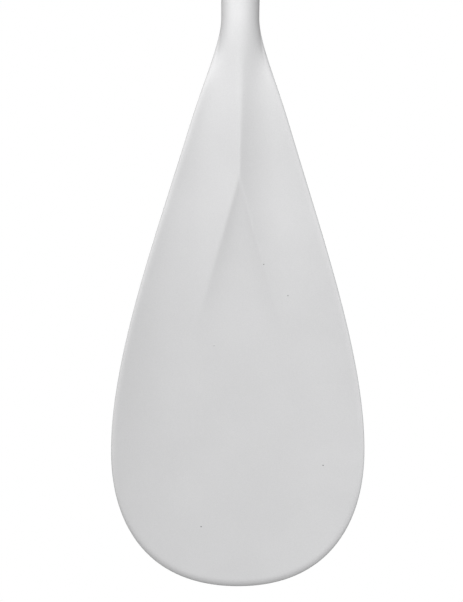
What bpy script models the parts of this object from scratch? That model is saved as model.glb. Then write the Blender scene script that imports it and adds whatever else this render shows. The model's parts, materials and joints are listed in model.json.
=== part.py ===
"""Adjustable stand-up paddle: a moulded blade, a two-part telescoping shaft with a cam clamp, and a T-grip.

Everything is modelled in the paddle's own frame, in metres: the shaft's axis is the Y axis, the grip is at
+Y, the blade hangs from the throat at y = 0 towards -Y, and the power face looks to +Z.  The parent empty
then lays the paddle on the ground, power face up, resting on the blade's tip and on the grip's flat back.
"""

import math
from bisect import bisect_right

import bmesh
import bpy
from mathutils import Matrix, Vector
from mathutils.geometry import interpolate_bezier

MM = 0.001
GAP = 0.3 * MM          # air kept between touching pieces
ROUND_STEPS = 32        # facets of a round piece
SMALL_STEPS = 20        # facets of a fastener

# Blade: half outline as cubic curves through the throat, the shoulder, the widest point and the tip
BLADE_LENGTH = 491.5 * MM
HALF_WIDTH = 109 * MM
WIDEST_AT = 375 * MM
SHOULDER = (90 * MM, 42 * MM)
SHOULDER_SLOPE = math.radians(17)
THROAT_RADIUS = 16.3 * MM
RAKE = math.radians(10)         # the blade leans forward by this much
BEND_LENGTH = 270 * MM          # and reaches it along a circular bend of this length
EDGE = 2.8 * MM                 # half the plate's thickness, and its rim's radius
PLATE_RISE = 2.5 * MM           # the plate starts this far towards the power face
PLATE_DROP = 6 * MM             # and drops by this much
DROP_SPAN = (50 * MM, 160 * MM) # between these distances from the throat
DISH = 14 * MM                  # how far the plate's sides curl up at its widest
DISH_POWER = 4
DISH_GROWTH = 1.5
BLEND_LENGTH = 62 * MM          # round neck turns into flat blade along this length
RIDGE_SLOPE = 0.54               # of the central ridge's sides at its crest
RIDGE_POWER = 2.1
RIDGE_FOOT = (27 * MM, 41 * MM) # half the ridge's width at the throat and further down
FOOT_SPAN = 200 * MM
APEX_AT = 138 * MM              # the ridge forks here into two, with a scoop between them
FORK_SLOPE = 0.285
SCOOP_SLOPE = 0.45
SCOOP_END = 280 * MM
RIDGE_SOFTNESS = 0.6 * MM
RIB_HEIGHT = 15 * MM            # the rounded rib that carries the shaft's line down the back
RIB_END = 330 * MM
RIB_HALF_WIDTH = 26 * MM
FAN_CENTRE = 400 * MM           # the tip's mesh lines fan out from about here
BLADE_ROWS = 36
BLADE_COLUMNS = 9

# Neck: the moulded socket above the throat
NECK_LENGTH = 75 * MM
NECK_TOP_RADIUS = 17.6 * MM
BEAD_RADIUS = 18.6 * MM
BEAD_LENGTH = 7 * MM
SOCKET_DEPTH = 70 * MM

# Tubes
LOWER_OUTER = 14.5 * MM
LOWER_INNER = 13.3 * MM
LOWER_LENGTH = 820 * MM
UPPER_OUTER = 13.0 * MM
UPPER_INNER = 11.8 * MM
PLUG_LENGTH = 16 * MM           # of the guide plug's part that stands out of the upper shaft
FOAM_LENGTH = 40 * MM
FERRULE_REACH = 90 * MM         # length of the ferrule that stands out of the neck
FERRULE_CAP = 5 * MM
TOTAL_LENGTH = 1650 * MM        # shortest paddle, measured along the shaft

# Snap button
BUTTON_AT = NECK_LENGTH + 40 * MM
BUTTON_RADIUS = 3.8 * MM
BUTTON_PROUD = 2.5 * MM
BUTTON_HOLE = BUTTON_RADIUS + 2 * GAP
SPRING_HALF_WIDTH = 4 * MM
SPRING_THICKNESS = 0.6 * MM

# Rivets through the neck and the ferrule
RIVET_AT = 48 * MM
RIVET_RADIUS = 1.6 * MM
RIVET_HEAD_RADIUS = 3.4 * MM

# Clamp
CLAMP_LENGTH = 48 * MM
CLAMP_BELOW = 24 * MM           # length of collar below the lower shaft's end
COLLAR_LOWER_RADIUS = 18.6 * MM
COLLAR_UPPER_RADIUS = 17.4 * MM
SLIT = 3.2 * MM
EAR_LENGTH = 22 * MM
EAR_OUTER = 8.5 * MM
EAR_TOP = 31 * MM
BOLT_HEIGHT = 24.6 * MM
BOLT_RADIUS = 2.5 * MM
WASHER = 1.3 * MM
WASHER_RADIUS = 6.4 * MM
CAM_RADIUS = 6.8 * MM
CAM_THROW = 0.6 * MM
PIN_RADIUS = 4.2 * MM
LEVER_WIDTH = 22 * MM
LEVER_SLOT = 6.6 * MM
LEVER_HALF_THICKNESS = 1.9 * MM
NUT_LENGTH = 9 * MM
NUT_RADIUS = 7.8 * MM
NUT_LOBES = 6
NUT_LOBE_DEPTH = 1.3 * MM
SEAL_DEPTH = 4 * MM
SEAL_RADIUS = 15.2 * MM
SCREW_RADIUS = 1.5 * MM

# Grip
GRIP_HALF_WIDTH = 57 * MM
GRIP_LENGTH = 104 * MM          # along the shaft, from the stem's end to the palm
GRIP_HALF_HEIGHT = 17 * MM      # of the crossbar, along the shaft
GRIP_HALF_DEPTH = 15 * MM
GRIP_DROOP = 6 * MM
GRIP_SOCKET = 38 * MM
STEM_RADIUS = 16.8 * MM
STEM_WAIST = 15.4 * MM
REST_DEPTH = 14.2 * MM          # the flat on the grip's back lies this far from the shaft's axis
PAD_THICKNESS = 2 * MM
PAD_HALF_WIDTH = 47 * MM
PAD_HALF_ANGLE = math.radians(62)

# Places along the shaft's axis that follow from the sizes above
LOWER_START = NECK_LENGTH + GAP
LOWER_END = LOWER_START + LOWER_LENGTH
FERRULE_START = NECK_LENGTH - SOCKET_DEPTH + GAP
FERRULE_END = NECK_LENGTH + FERRULE_REACH
PLUG_START = FERRULE_END + FERRULE_CAP + GAP     # the guide plug stands on the ferrule's cap when shortest
UPPER_START = PLUG_START + PLUG_LENGTH + GAP
CLAMP_START = LOWER_END - CLAMP_BELOW
CLAMP_END = CLAMP_START + CLAMP_LENGTH
BOLT_AT = CLAMP_END - 2 * MM - EAR_LENGTH / 2
CAM_X = EAR_OUTER + WASHER + 2 * GAP + CAM_RADIUS + CAM_THROW


def centreline(s):
    """(y, z, lean) of the blade's centreline at s metres below the throat; s under 0 is the straight neck."""
    radius = BEND_LENGTH / RAKE
    if s <= 0:
        return -s, 0.0, 0.0
    lean = min(s / BEND_LENGTH, 1) * RAKE
    straight = max(s - BEND_LENGTH, 0)
    y = -radius * math.sin(lean) - straight * math.cos(lean)
    z = -radius * (1 - math.cos(lean)) - straight * math.sin(lean)
    return y, z, lean


TIP_Y = centreline(BLADE_LENGTH)[0]
GRIP_TOP = TOTAL_LENGTH + TIP_Y
GRIP_START = GRIP_TOP - GRIP_LENGTH
GRIP_CENTRE = GRIP_TOP - GRIP_HALF_HEIGHT
UPPER_END = GRIP_START + GRIP_SOCKET


def lying_pose():
    """(lean of the shaft, y and z shift) that lays the paddle on z = 0, centred along Y."""
    rim_y, rim_z, lean = centreline(BLADE_LENGTH - EDGE)
    plate = PLATE_RISE - PLATE_DROP
    rim_y += plate * math.sin(lean)
    rim_z += plate * math.cos(lean)
    angle = math.atan2(-REST_DEPTH - (rim_z - EDGE), GRIP_CENTRE - rim_y)
    down = EDGE - (rim_z * math.cos(angle) - rim_y * math.sin(angle))
    tip = rim_y * math.cos(angle) + rim_z * math.sin(angle) - EDGE
    top = GRIP_TOP * math.cos(angle)
    return angle, -(tip + top) / 2, down


def paint(name, colour, roughness, metallic=0.0):
    """A Principled material."""
    material = bpy.data.materials.new(name)
    material.use_nodes = True
    shader = material.node_tree.nodes["Principled BSDF"]
    shader.inputs["Base Color"].default_value = (*colour, 1)
    shader.inputs["Roughness"].default_value = roughness
    shader.inputs["Metallic"].default_value = metallic
    return material


def piece(name, bm, material, parent, helper=False):
    """A bmesh as an object under the lying empty. A helper is a cutter, which isn't part of the paddle."""
    bmesh.ops.remove_doubles(bm, verts=bm.verts, dist=1e-6)
    bmesh.ops.recalc_face_normals(bm, faces=bm.faces)
    mesh = bpy.data.meshes.new(name)
    bm.to_mesh(mesh)
    bm.free()
    obj = bpy.data.objects.new(name, mesh)
    bpy.context.scene.collection.objects.link(obj)
    obj.parent = parent
    mesh.materials.append(material)
    mesh.shade_smooth()
    mesh.set_sharp_from_angle(angle=math.radians(35))
    if helper:
        obj.hide_render = True
        obj.display_type = "WIRE"
    return obj


def boolean(obj, operation, *others):
    for other in others:
        modifier = obj.modifiers.new(other.name, "BOOLEAN")
        modifier.operation = operation
        modifier.solver = "EXACT"
        modifier.object = other


def loft(loops, closed_ends=True):
    """A skin through loops of points, each closed and with the same number of points."""
    bm = bmesh.new()
    rings = [[bm.verts.new(point) for point in loop] for loop in loops]
    count = len(rings[0])
    for one, two in zip(rings, rings[1:]):
        for i in range(count):
            j = (i + 1) % count
            bm.faces.new((one[i], one[j], two[j], two[i]))
    if closed_ends:
        bm.faces.new(rings[0])
        bm.faces.new(rings[-1])
    return bm


def turned(profile, centre=(0, 0, 0), axis=(0, 1, 0), steps=ROUND_STEPS):
    """A closed profile of (radius, distance along the axis) turned about the axis through centre."""
    bm = bmesh.new()
    verts = [bm.verts.new((radius, 0, along)) for radius, along in profile]
    edges = [bm.edges.new((a, b)) for a, b in zip(verts, verts[1:] + verts[:1])]
    bmesh.ops.spin(bm, geom=verts + edges, cent=(0, 0, 0), axis=(0, 0, 1),
                   angle=math.tau, steps=steps, use_merge=True)
    bmesh.ops.remove_doubles(bm, verts=bm.verts, dist=1e-7)
    turn = Vector((0, 0, 1)).rotation_difference(Vector(axis)).to_matrix().to_4x4()
    bmesh.ops.transform(bm, matrix=Matrix.Translation(centre) @ turn, verts=bm.verts)
    loose = [face for face in bm.faces if face.calc_area() < 1e-14]
    bmesh.ops.delete(bm, geom=loose, context="FACES")
    return bm


def tube(outer, inner, start, end, **where):
    return turned([(inner, start), (outer, start), (outer, end), (inner, end)], **where)


def rod(radius, start, end, **where):
    return turned([(0, start), (radius, start), (radius, end), (0, end)], **where)


def block(low, high):
    """A box from its lowest to its highest corner."""
    bm = bmesh.new()
    bmesh.ops.create_cube(bm, size=1)
    size = [b - a for a, b in zip(low, high)]
    middle = [(a + b) / 2 for a, b in zip(low, high)]
    bmesh.ops.scale(bm, vec=size, verts=bm.verts)
    bmesh.ops.translate(bm, vec=middle, verts=bm.verts)
    return bm


def extruded(outline, low, high):
    """An outline of (x, z) points pushed along Y from low to high."""
    return loft([[(x, y, z) for x, z in outline] for y in (low, high)])


def smooth(t):
    t = min(max(t, 0), 1)
    return t * t * (3 - 2 * t)


def soft_max(value, softness):
    """max(value, 0) with its corner rounded over about the given softness."""
    return (value + math.sqrt(value * value + softness * softness)) / 2


# ---- Blade ----------------------------------------------------------------------------------------------

def blade_outline(points_each=61):
    """(s, half width) from the throat to the tip."""
    shoulder = Vector((*SHOULDER, 0))
    heading = Vector((math.cos(SHOULDER_SLOPE), math.sin(SHOULDER_SLOPE), 0))
    throat = Vector((0, THROAT_RADIUS, 0))
    widest = Vector((WIDEST_AT, HALF_WIDTH, 0))
    tip = Vector((BLADE_LENGTH, 0, 0))
    down = Vector((1, 0, 0))
    out = Vector((0, 1, 0))
    spans = (
        (throat, throat + 20 * MM * down, shoulder - 37 * MM * heading, shoulder),
        (shoulder, shoulder + 98 * MM * heading, widest - 81 * MM * down, widest),
        (widest, widest + 75 * MM * down, tip + 68 * MM * out, tip),
    )
    points = []
    for span in spans:
        curve = interpolate_bezier(*span, points_each)
        points += [(p.x, p.y) for p in curve[1 if points else 0:]]
    return points


OUTLINE = blade_outline()
OUTLINE_S = [s for s, _ in OUTLINE]


def half_width(s):
    """Half the blade's width at s, read from the outline."""
    i = min(max(bisect_right(OUTLINE_S, s), 1), len(OUTLINE) - 1)
    (s0, w0), (s1, w1) = OUTLINE[i - 1], OUTLINE[i]
    share = min(max((s - s0) / (s1 - s0), 0), 1)
    return w0 + (w1 - w0) * share


def neck_radius(s):
    """The neck widens gently from the throat to its open end, and ends in a bead."""
    if -s > NECK_LENGTH - BEAD_LENGTH:
        return BEAD_RADIUS
    return THROAT_RADIUS + (NECK_TOP_RADIUS - THROAT_RADIUS) * smooth(-s / NECK_LENGTH)


def ridge_height(s, x):
    """Height of the central ridge over the plate; past the apex a scoop cuts its top off between two crests."""
    foot = RIDGE_FOOT[0] + (RIDGE_FOOT[1] - RIDGE_FOOT[0]) * smooth(s / FOOT_SPAN)
    roundness = 0.5 * MM + 5 * MM * (1 - smooth(s / APEX_AT))
    fork = max(s - APEX_AT, 0) * FORK_SLOPE
    from_centre = math.hypot(x, roundness) - roundness
    out = min(fork + soft_max(from_centre - fork, RIDGE_SOFTNESS), foot)
    height = RIDGE_SLOPE * foot / RIDGE_POWER * (1 - out / foot) ** RIDGE_POWER
    if fork:
        inside = soft_max(fork - x, RIDGE_SOFTNESS)
        fade = 1 - smooth((s - APEX_AT) / (SCOOP_END - APEX_AT))
        height -= SCOOP_SLOPE / 2 * fade * inside * (1 + min(x / fork, 1))
    return height


def face_heights(s, x, inward):
    """(power face, back) heights over the centreline, where inward is the distance in from the rim."""
    x = abs(x)
    rim = 1 - min(inward / EDGE, 1)
    half_plate = EDGE * math.sqrt(1 - rim * rim)
    width = max(half_width(min(s, WIDEST_AT)), EDGE)
    drop = PLATE_DROP * smooth((s - DROP_SPAN[0]) / (DROP_SPAN[1] - DROP_SPAN[0]))
    dish = DISH * (width / HALF_WIDTH) ** DISH_GROWTH * (x / width) ** DISH_POWER
    middle = PLATE_RISE - drop + dish
    rib = RIB_HEIGHT * max(1 - s / RIB_END, 0) ** 1.4
    rib *= (1 + math.cos(math.pi * min(x / RIB_HALF_WIDTH, 1))) / 2
    cover = 1 - rim * rim
    return middle + half_plate + ridge_height(s, x) * cover, middle - half_plate - rib * cover


def blade_station(s, width, centre_s, blend):
    """One closed loop of points across the blade: the power face from -X to +X, then the back."""
    front, back = [], []
    reach = math.hypot(width, s - centre_s)
    rim_steps = (1 - 0.16 * EDGE / reach, 1 - 0.6 * EDGE / reach, 1 - 1.5 * EDGE / reach) if reach else (1, 1, 1)
    inner = BLADE_COLUMNS - len(rim_steps)
    shares = [rim_steps[2] * (i / inner) ** 0.9 for i in range(inner)]
    shares += [rim_steps[2], rim_steps[1], rim_steps[0]]
    shares.append(1.0)
    for side in range(-BLADE_COLUMNS, BLADE_COLUMNS + 1):
        index = abs(side)
        sign = (side > 0) - (side < 0)
        angle = math.pi / 2 * index / BLADE_COLUMNS
        share = (1 - blend) * math.sin(angle) + blend * shares[index]
        x = sign * width * share
        point_s = centre_s + (s - centre_s) * share
        top, under = face_heights(point_s, x, (1 - share) * reach)
        round_z = THROAT_RADIUS * math.cos(angle)
        front.append((x, point_s, (1 - blend) * round_z + blend * top))
        back.append((x, point_s, -(1 - blend) * round_z + blend * under))
    loop = front + back[-2:0:-1]
    return [in_paddle(*point) for point in loop]


def in_paddle(x, s, height):
    """A point of the blade's own frame in the paddle's frame."""
    y, z, lean = centreline(s)
    return x, y + height * math.sin(lean), z + height * math.cos(lean)


def neck_station(s, radius):
    """A round loop with as many points as a blade station, and starting where one starts."""
    count = 4 * BLADE_COLUMNS
    angles = [math.pi - math.tau * i / count for i in range(count)]
    return [(radius * math.cos(a), -s, radius * math.sin(a)) for a in angles]


def make_blade(material, parent):
    socket_end = SOCKET_DEPTH - NECK_LENGTH
    loops = [neck_station(socket_end, LOWER_INNER), neck_station(-NECK_LENGTH, LOWER_INNER)]
    bead_end = BEAD_LENGTH - NECK_LENGTH
    for s in (-NECK_LENGTH, bead_end - 1e-5):
        loops.append(neck_station(s, BEAD_RADIUS))
    for i in range(5):
        s = (bead_end + 1 * MM) * (1 - i / 5)
        loops.append(neck_station(s, neck_radius(s)))
    total = len(OUTLINE) - 1
    for row in range(BLADE_ROWS + 1):
        s, width = OUTLINE[round(total * row / BLADE_ROWS)]
        past = max(s - (FAN_CENTRE - 60 * MM), 0)
        centre_s = s - past + 60 * MM * (1 - math.exp(-past / (60 * MM)))
        loops.append(blade_station(s, width, centre_s, smooth(s / BLEND_LENGTH)))
    bm = loft(loops, closed_ends=False)
    bm.verts.ensure_lookup_table()
    bm.faces.new(bm.verts[:4 * BLADE_COLUMNS])
    blade = piece("blade", bm, material, parent)
    holes = [rivet_hole(side, parent) for side in (-1, 1)]
    boolean(blade, "DIFFERENCE", *holes)
    return holes


# ---- Blade joint: ferrule, rivets, snap button ----------------------------------------------------------

def rivet_hole(side, parent):
    name = f"rivet_hole_{'left' if side < 0 else 'right'}"
    bm = rod(RIVET_RADIUS + GAP, 8 * MM, 24 * MM, centre=(0, RIVET_AT, 0), axis=(side, 0, 0), steps=SMALL_STEPS)
    return piece(name, bm, None, parent, helper=True)


def make_rivet(name, side, material, parent):
    """A pop rivet with a domed head on the neck and a swollen tail inside the ferrule."""
    skin = neck_radius(-RIVET_AT) + GAP
    tail = UPPER_INNER - GAP
    profile = [
        (0, tail - 2.2 * MM), (2.4 * MM, tail - 2.0 * MM), (2.6 * MM, tail - 0.6 * MM), (RIVET_RADIUS, tail),
        (RIVET_RADIUS, skin), (RIVET_HEAD_RADIUS, skin), (RIVET_HEAD_RADIUS * 0.8, skin + 0.8 * MM),
        (RIVET_HEAD_RADIUS * 0.4, skin + 1.2 * MM), (0, skin + 1.3 * MM),
    ]
    bm = turned(profile, centre=(0, RIVET_AT, 0), axis=(side, 0, 0), steps=SMALL_STEPS)
    piece(name, bm, material, parent)


def button_hole(name, parent):
    bm = rod(BUTTON_HOLE, 6 * MM, 20 * MM, centre=(0, BUTTON_AT, 0), axis=(0, 0, 1), steps=SMALL_STEPS)
    return piece(name, bm, None, parent, helper=True)


def make_snap_button(material, parent):
    top = LOWER_OUTER + BUTTON_PROUD
    flange = 10.1 * MM
    profile = [
        (0, flange - 1.0 * MM), (5.2 * MM, flange - 1.0 * MM), (5.2 * MM, flange), (BUTTON_RADIUS, flange),
        (BUTTON_RADIUS, top - 1.6 * MM), (BUTTON_RADIUS * 0.85, top - 0.7 * MM),
        (BUTTON_RADIUS * 0.5, top - 0.15 * MM), (0, top),
    ]
    bm = turned(profile, centre=(0, BUTTON_AT, 0), axis=(0, 0, 1), steps=SMALL_STEPS)
    piece("snap_button", bm, material, parent)


def make_snap_spring(material, parent):
    """A strip bent into a V: its upper leg carries the button, and its lower one stands on the ferrule's wall."""
    bend = FERRULE_END - 17 * MM
    leg_end = BUTTON_AT - 8 * MM
    radius = 1.6 * MM
    high, low = 8.5 * MM, -10.5 * MM
    path = [(leg_end, high), (BUTTON_AT + 8 * MM, high - 0.2 * MM)]
    for i in range(9):
        angle = math.radians(80 - 20 * i)
        path.append((bend + radius * math.cos(angle), radius * math.sin(angle)))
    path.append((leg_end, low))
    outer, inner = [], []
    for i, (y, z) in enumerate(path):
        before, after = path[max(i - 1, 0)], path[min(i + 1, len(path) - 1)]
        heading = Vector((after[0] - before[0], after[1] - before[1])).normalized()
        side = Vector((-heading.y, heading.x)) * SPRING_THICKNESS / 2
        outer.append((y + side.x, z + side.y))
        inner.append((y - side.x, z - side.y))
    outline = outer + inner[::-1]
    loops = [[(x, y, z) for y, z in outline] for x in (-SPRING_HALF_WIDTH, SPRING_HALF_WIDTH)]
    piece("snap_spring", loft(loops), material, parent)


def make_blade_joint(paints, holes, parent):
    """The ferrule riveted into the neck, and the snap button that holds the lower shaft on it."""
    ferrule = piece("ferrule", tube(UPPER_OUTER, UPPER_INNER, FERRULE_START, FERRULE_END), paints["alloy"], parent)
    boolean(ferrule, "DIFFERENCE", *holes, button_hole("ferrule_button_hole", parent))
    make_rivet("neck_rivet_left", -1, paints["steel"], parent)
    make_rivet("neck_rivet_right", 1, paints["steel"], parent)
    inside = UPPER_INNER - GAP
    profile = [
        (0, FERRULE_END - 12 * MM), (inside, FERRULE_END - 12 * MM), (inside, FERRULE_END + GAP),
        (UPPER_OUTER, FERRULE_END + GAP), (UPPER_OUTER, FERRULE_END + 2 * MM),
        (UPPER_OUTER - 2 * MM, FERRULE_END + FERRULE_CAP), (0, FERRULE_END + FERRULE_CAP),
    ]
    piece("ferrule_cap", turned(profile), paints["rubber"], parent)
    make_snap_button(paints["steel"], parent)
    make_snap_spring(paints["steel"], parent)


# ---- Clamp ----------------------------------------------------------------------------------------------

def make_collar(material, parent):
    """A split collar: its lower half sits on the lower shaft, and its upper half squeezes the upper one."""
    step = LOWER_END + GAP
    wide, narrow = LOWER_OUTER + GAP, UPPER_OUTER + GAP
    chamfer = 1 * MM
    outside = [
        (0, CLAMP_START), (COLLAR_LOWER_RADIUS - chamfer, CLAMP_START),
        (COLLAR_LOWER_RADIUS, CLAMP_START + chamfer), (COLLAR_LOWER_RADIUS, step + 1 * MM),
        (COLLAR_UPPER_RADIUS, step + 4 * MM), (COLLAR_UPPER_RADIUS, CLAMP_END - chamfer),
        (COLLAR_UPPER_RADIUS - chamfer, CLAMP_END), (0, CLAMP_END),
    ]
    inside = [
        (0, CLAMP_START - MM), (wide, CLAMP_START - MM), (wide, step), (narrow, step),
        (narrow, CLAMP_END - SEAL_DEPTH), (SEAL_RADIUS, CLAMP_END - SEAL_DEPTH),
        (SEAL_RADIUS, CLAMP_END + MM), (0, CLAMP_END + MM),
    ]
    collar = piece("clamp_collar", turned(outside), material, parent)
    ears = extruded(ear_outline(), BOLT_AT - EAR_LENGTH / 2, BOLT_AT + EAR_LENGTH / 2)
    ears = piece("ears", ears, None, parent, helper=True)
    bore = piece("collar_bore", turned(inside), None, parent, helper=True)
    slit = block((-SLIT / 2, CLAMP_START - MM, narrow - 4 * MM), (SLIT / 2, CLAMP_END + MM, EAR_TOP + 5 * MM))
    slit = piece("slit", slit, None, parent, helper=True)
    bolt_hole = rod(BOLT_RADIUS + GAP, -20 * MM, 20 * MM, centre=(0, BOLT_AT, BOLT_HEIGHT), axis=(1, 0, 0),
                    steps=SMALL_STEPS)
    bolt_hole = piece("bolt_hole", bolt_hole, None, parent, helper=True)
    boolean(collar, "UNION", ears)
    boolean(collar, "DIFFERENCE", bore, slit, bolt_hole, screw_hole("collar_screw_hole", parent))


def ear_outline():
    """The two ears as one block across the slit: a pad with a round top, tapering out to the collar."""
    foot = COLLAR_UPPER_RADIUS - 1.6 * MM
    spread = 10.5 * MM
    corner = 3 * MM
    points = [(-spread, foot - 6 * MM), (-EAR_OUTER, foot + 2 * MM), (-EAR_OUTER, EAR_TOP - corner)]
    for i in range(1, 5):
        angle = math.pi - math.pi / 8 * i
        points.append((corner - EAR_OUTER + corner * math.cos(angle), EAR_TOP - corner + corner * math.sin(angle)))
    return points + [(-x, z) for x, z in reversed(points)]


def screw_hole(name, parent):
    """The way of the screw that keeps the collar on the lower shaft, with a counterbore for its head."""
    profile = [
        (0, 12 * MM), (SCREW_RADIUS + GAP, 12 * MM), (SCREW_RADIUS + GAP, 16.6 * MM),
        (3.3 * MM, 16.6 * MM), (3.3 * MM, 22 * MM), (0, 22 * MM),
    ]
    bm = turned(profile, centre=(0, CLAMP_START + 8 * MM, 0), axis=(-1, 0, 0), steps=SMALL_STEPS)
    return piece(name, bm, None, parent, helper=True)


def make_collar_screw(material, parent):
    profile = [
        (0, 13.7 * MM), (SCREW_RADIUS, 14.1 * MM), (SCREW_RADIUS, 16.9 * MM),
        (2.9 * MM, 16.9 * MM), (2.9 * MM, 18.0 * MM), (2.0 * MM, 18.6 * MM), (0, 18.8 * MM),
    ]
    bm = turned(profile, centre=(0, CLAMP_START + 8 * MM, 0), axis=(-1, 0, 0), steps=SMALL_STEPS)
    piece("collar_screw", bm, material, parent)


def lever_outline(arm_steps=9):
    """The lever seen along the shaft: a cam head, and an arm that wraps down round the collar."""
    head = Vector((CAM_X, BOLT_HEIGHT))
    cam = head - Vector((CAM_THROW, 0))
    bend = Vector((25.5 * MM, 12 * MM))
    hug = Vector((22.5 * MM, -6 * MM))
    end = Vector((21 * MM, -17 * MM))
    curve = interpolate_bezier(head.to_3d(), bend.to_3d(), hug.to_3d(), end.to_3d(), arm_steps + 2)
    arm = [point.to_2d() for point in curve]
    outer, inner = [], []
    for i, (before, point, after) in enumerate(zip(arm[1:], arm[2:], arm[3:] + [arm[-1] * 2 - arm[-2]])):
        heading = (after - before).normalized()
        side = Vector((-heading.y, heading.x)) * LEVER_HALF_THICKNESS * (1.2 - 0.4 * i / arm_steps)
        outer.append(point + side)
        inner.append(point - side)
    arc = []
    for i in range(15):
        angle = math.radians(-30 + 17 * i)
        arc.append(cam + CAM_RADIUS * Vector((math.cos(angle), math.sin(angle))))
    return [tuple(p) for p in arc + inner + outer[::-1]]


def make_lever(material, parent):
    lever = extruded(lever_outline(), BOLT_AT - LEVER_WIDTH / 2, BOLT_AT + LEVER_WIDTH / 2)
    lever = piece("clamp_lever", lever, material, parent)
    slot = block((CAM_X - 12 * MM, BOLT_AT - LEVER_SLOT / 2, BOLT_HEIGHT - 4.6 * MM),
                 (CAM_X + 12 * MM, BOLT_AT + LEVER_SLOT / 2, BOLT_HEIGHT + 12 * MM))
    slot = piece("lever_slot", slot, None, parent, helper=True)
    eye = rod(PIN_RADIUS + GAP, -20 * MM, 20 * MM, centre=(CAM_X, BOLT_AT, BOLT_HEIGHT), steps=SMALL_STEPS)
    eye = piece("lever_eye", eye, None, parent, helper=True)
    boolean(lever, "DIFFERENCE", slot, eye)


def make_tension_nut(material, parent):
    """A lobed thumb nut on the bolt's end."""
    start = -(EAR_OUTER + WASHER + 2 * GAP)
    count = NUT_LOBES * 6
    loops = []
    for inset, x in ((0.8, 0), (0, 0.8 * MM), (0, NUT_LENGTH - 1.2 * MM), (1.2, NUT_LENGTH)):
        ring = []
        for i in range(count):
            angle = math.tau * i / count
            radius = NUT_RADIUS - inset * MM - NUT_LOBE_DEPTH * (1 - math.cos(NUT_LOBES * angle)) / 2
            ring.append((start - x, BOLT_AT + radius * math.cos(angle), BOLT_HEIGHT + radius * math.sin(angle)))
        loops.append(ring)
    nut = piece("tension_nut", loft(loops), material, parent)
    bore = rod(BOLT_RADIUS + GAP, -40 * MM, 0, centre=(0, BOLT_AT, BOLT_HEIGHT), axis=(1, 0, 0), steps=SMALL_STEPS)
    boolean(nut, "DIFFERENCE", piece("nut_bore", bore, None, parent, helper=True))


def make_clamp(paints, parent):
    make_collar(paints["nylon"], parent)
    make_collar_screw(paints["steel"], parent)
    make_lever(paints["nylon"], parent)
    across = {"centre": (0, BOLT_AT, BOLT_HEIGHT), "axis": (1, 0, 0), "steps": SMALL_STEPS}
    washer_hole = BOLT_RADIUS + GAP
    cam_washer = tube(WASHER_RADIUS, washer_hole, EAR_OUTER + GAP, EAR_OUTER + GAP + WASHER, **across)
    piece("cam_washer", cam_washer, paints["steel"], parent)
    nut_washer = tube(WASHER_RADIUS, washer_hole, -EAR_OUTER - GAP - WASHER, -EAR_OUTER - GAP, **across)
    piece("nut_washer", nut_washer, paints["steel"], parent)
    bolt_end = -(EAR_OUTER + WASHER + 2 * GAP + NUT_LENGTH + 2 * MM)
    profile = [
        (0, bolt_end), (BOLT_RADIUS - 0.6 * MM, bolt_end), (BOLT_RADIUS, bolt_end + 0.6 * MM),
        (BOLT_RADIUS, CAM_X + 1.2 * MM), (0, CAM_X + 1.2 * MM),
    ]
    piece("clamp_bolt", turned(profile, **across), paints["steel"], parent)
    pin_half = LEVER_WIDTH / 2 - 0.5 * MM
    pin = rod(PIN_RADIUS, -pin_half, pin_half, centre=(CAM_X, BOLT_AT, BOLT_HEIGHT), steps=SMALL_STEPS)
    pin = piece("lever_pin", pin, paints["steel"], parent)
    thread = rod(washer_hole, -10 * MM, 2 * MM, centre=(CAM_X, BOLT_AT, BOLT_HEIGHT), axis=(1, 0, 0),
                 steps=SMALL_STEPS)
    boolean(pin, "DIFFERENCE", piece("pin_thread", thread, None, parent, helper=True))
    make_tension_nut(paints["nylon"], parent)
    seal = tube(SEAL_RADIUS - GAP, UPPER_OUTER + GAP, CLAMP_END - SEAL_DEPTH + GAP, CLAMP_END - GAP)
    piece("wiper_seal", seal, paints["rubber"], parent)


# ---- Shafts ---------------------------------------------------------------------------------------------

def make_shafts(paints, parent):
    lower = piece("lower_shaft", tube(LOWER_OUTER, LOWER_INNER, LOWER_START, LOWER_END), paints["alloy"], parent)
    boolean(lower, "DIFFERENCE", button_hole("shaft_button_hole", parent), screw_hole("shaft_screw_hole", parent))
    upper = piece("upper_shaft", tube(UPPER_OUTER, UPPER_INNER, UPPER_START, UPPER_END), paints["alloy"], parent)
    boolean(upper, "DIFFERENCE", grip_screw_hole("upper_screw_hole", parent))
    inside = UPPER_INNER - GAP
    shoulder = UPPER_START - GAP
    plug_end = shoulder + 24 * MM
    profile = [
        (0, PLUG_START), (UPPER_OUTER - 2 * MM, PLUG_START), (UPPER_OUTER, PLUG_START + 3 * MM),
        (UPPER_OUTER, shoulder), (inside, shoulder), (inside, plug_end), (0, plug_end),
    ]
    piece("guide_plug", turned(profile), paints["nylon"], parent)
    for name, start in (("foam_plug_low", plug_end + 1 * MM), ("foam_plug_high", GRIP_START - FOAM_LENGTH)):
        piece(name, rod(inside, start, start + FOAM_LENGTH), paints["foam"], parent)


# ---- Grip -----------------------------------------------------------------------------------------------

def crossbar_point(x, angle, grow=0.0):
    """A point on the crossbar's skin. The angle runs from the palm side, +Y, towards the power side, +Z."""
    share = min(abs(x) / GRIP_HALF_WIDTH, 1)
    end = math.sqrt(max(1 - share ** 5, 0))
    high = (GRIP_HALF_HEIGHT - 3 * MM * share) * end + grow
    deep = (GRIP_HALF_DEPTH - 1.5 * MM * share) * end + grow
    middle = GRIP_CENTRE - GRIP_DROOP * share * share
    return x, middle + high * math.cos(angle), deep * math.sin(angle)


def crossbar(steps=20, stations=18):
    loops = []
    for i in range(stations + 1):
        x = GRIP_HALF_WIDTH * math.sin(math.pi / 2 * (2 * i / stations - 1))
        x = math.copysign(min(abs(x), GRIP_HALF_WIDTH * 0.9985), x)
        loops.append([crossbar_point(x, math.tau * j / steps) for j in range(steps)])
    return loft(loops)


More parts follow.
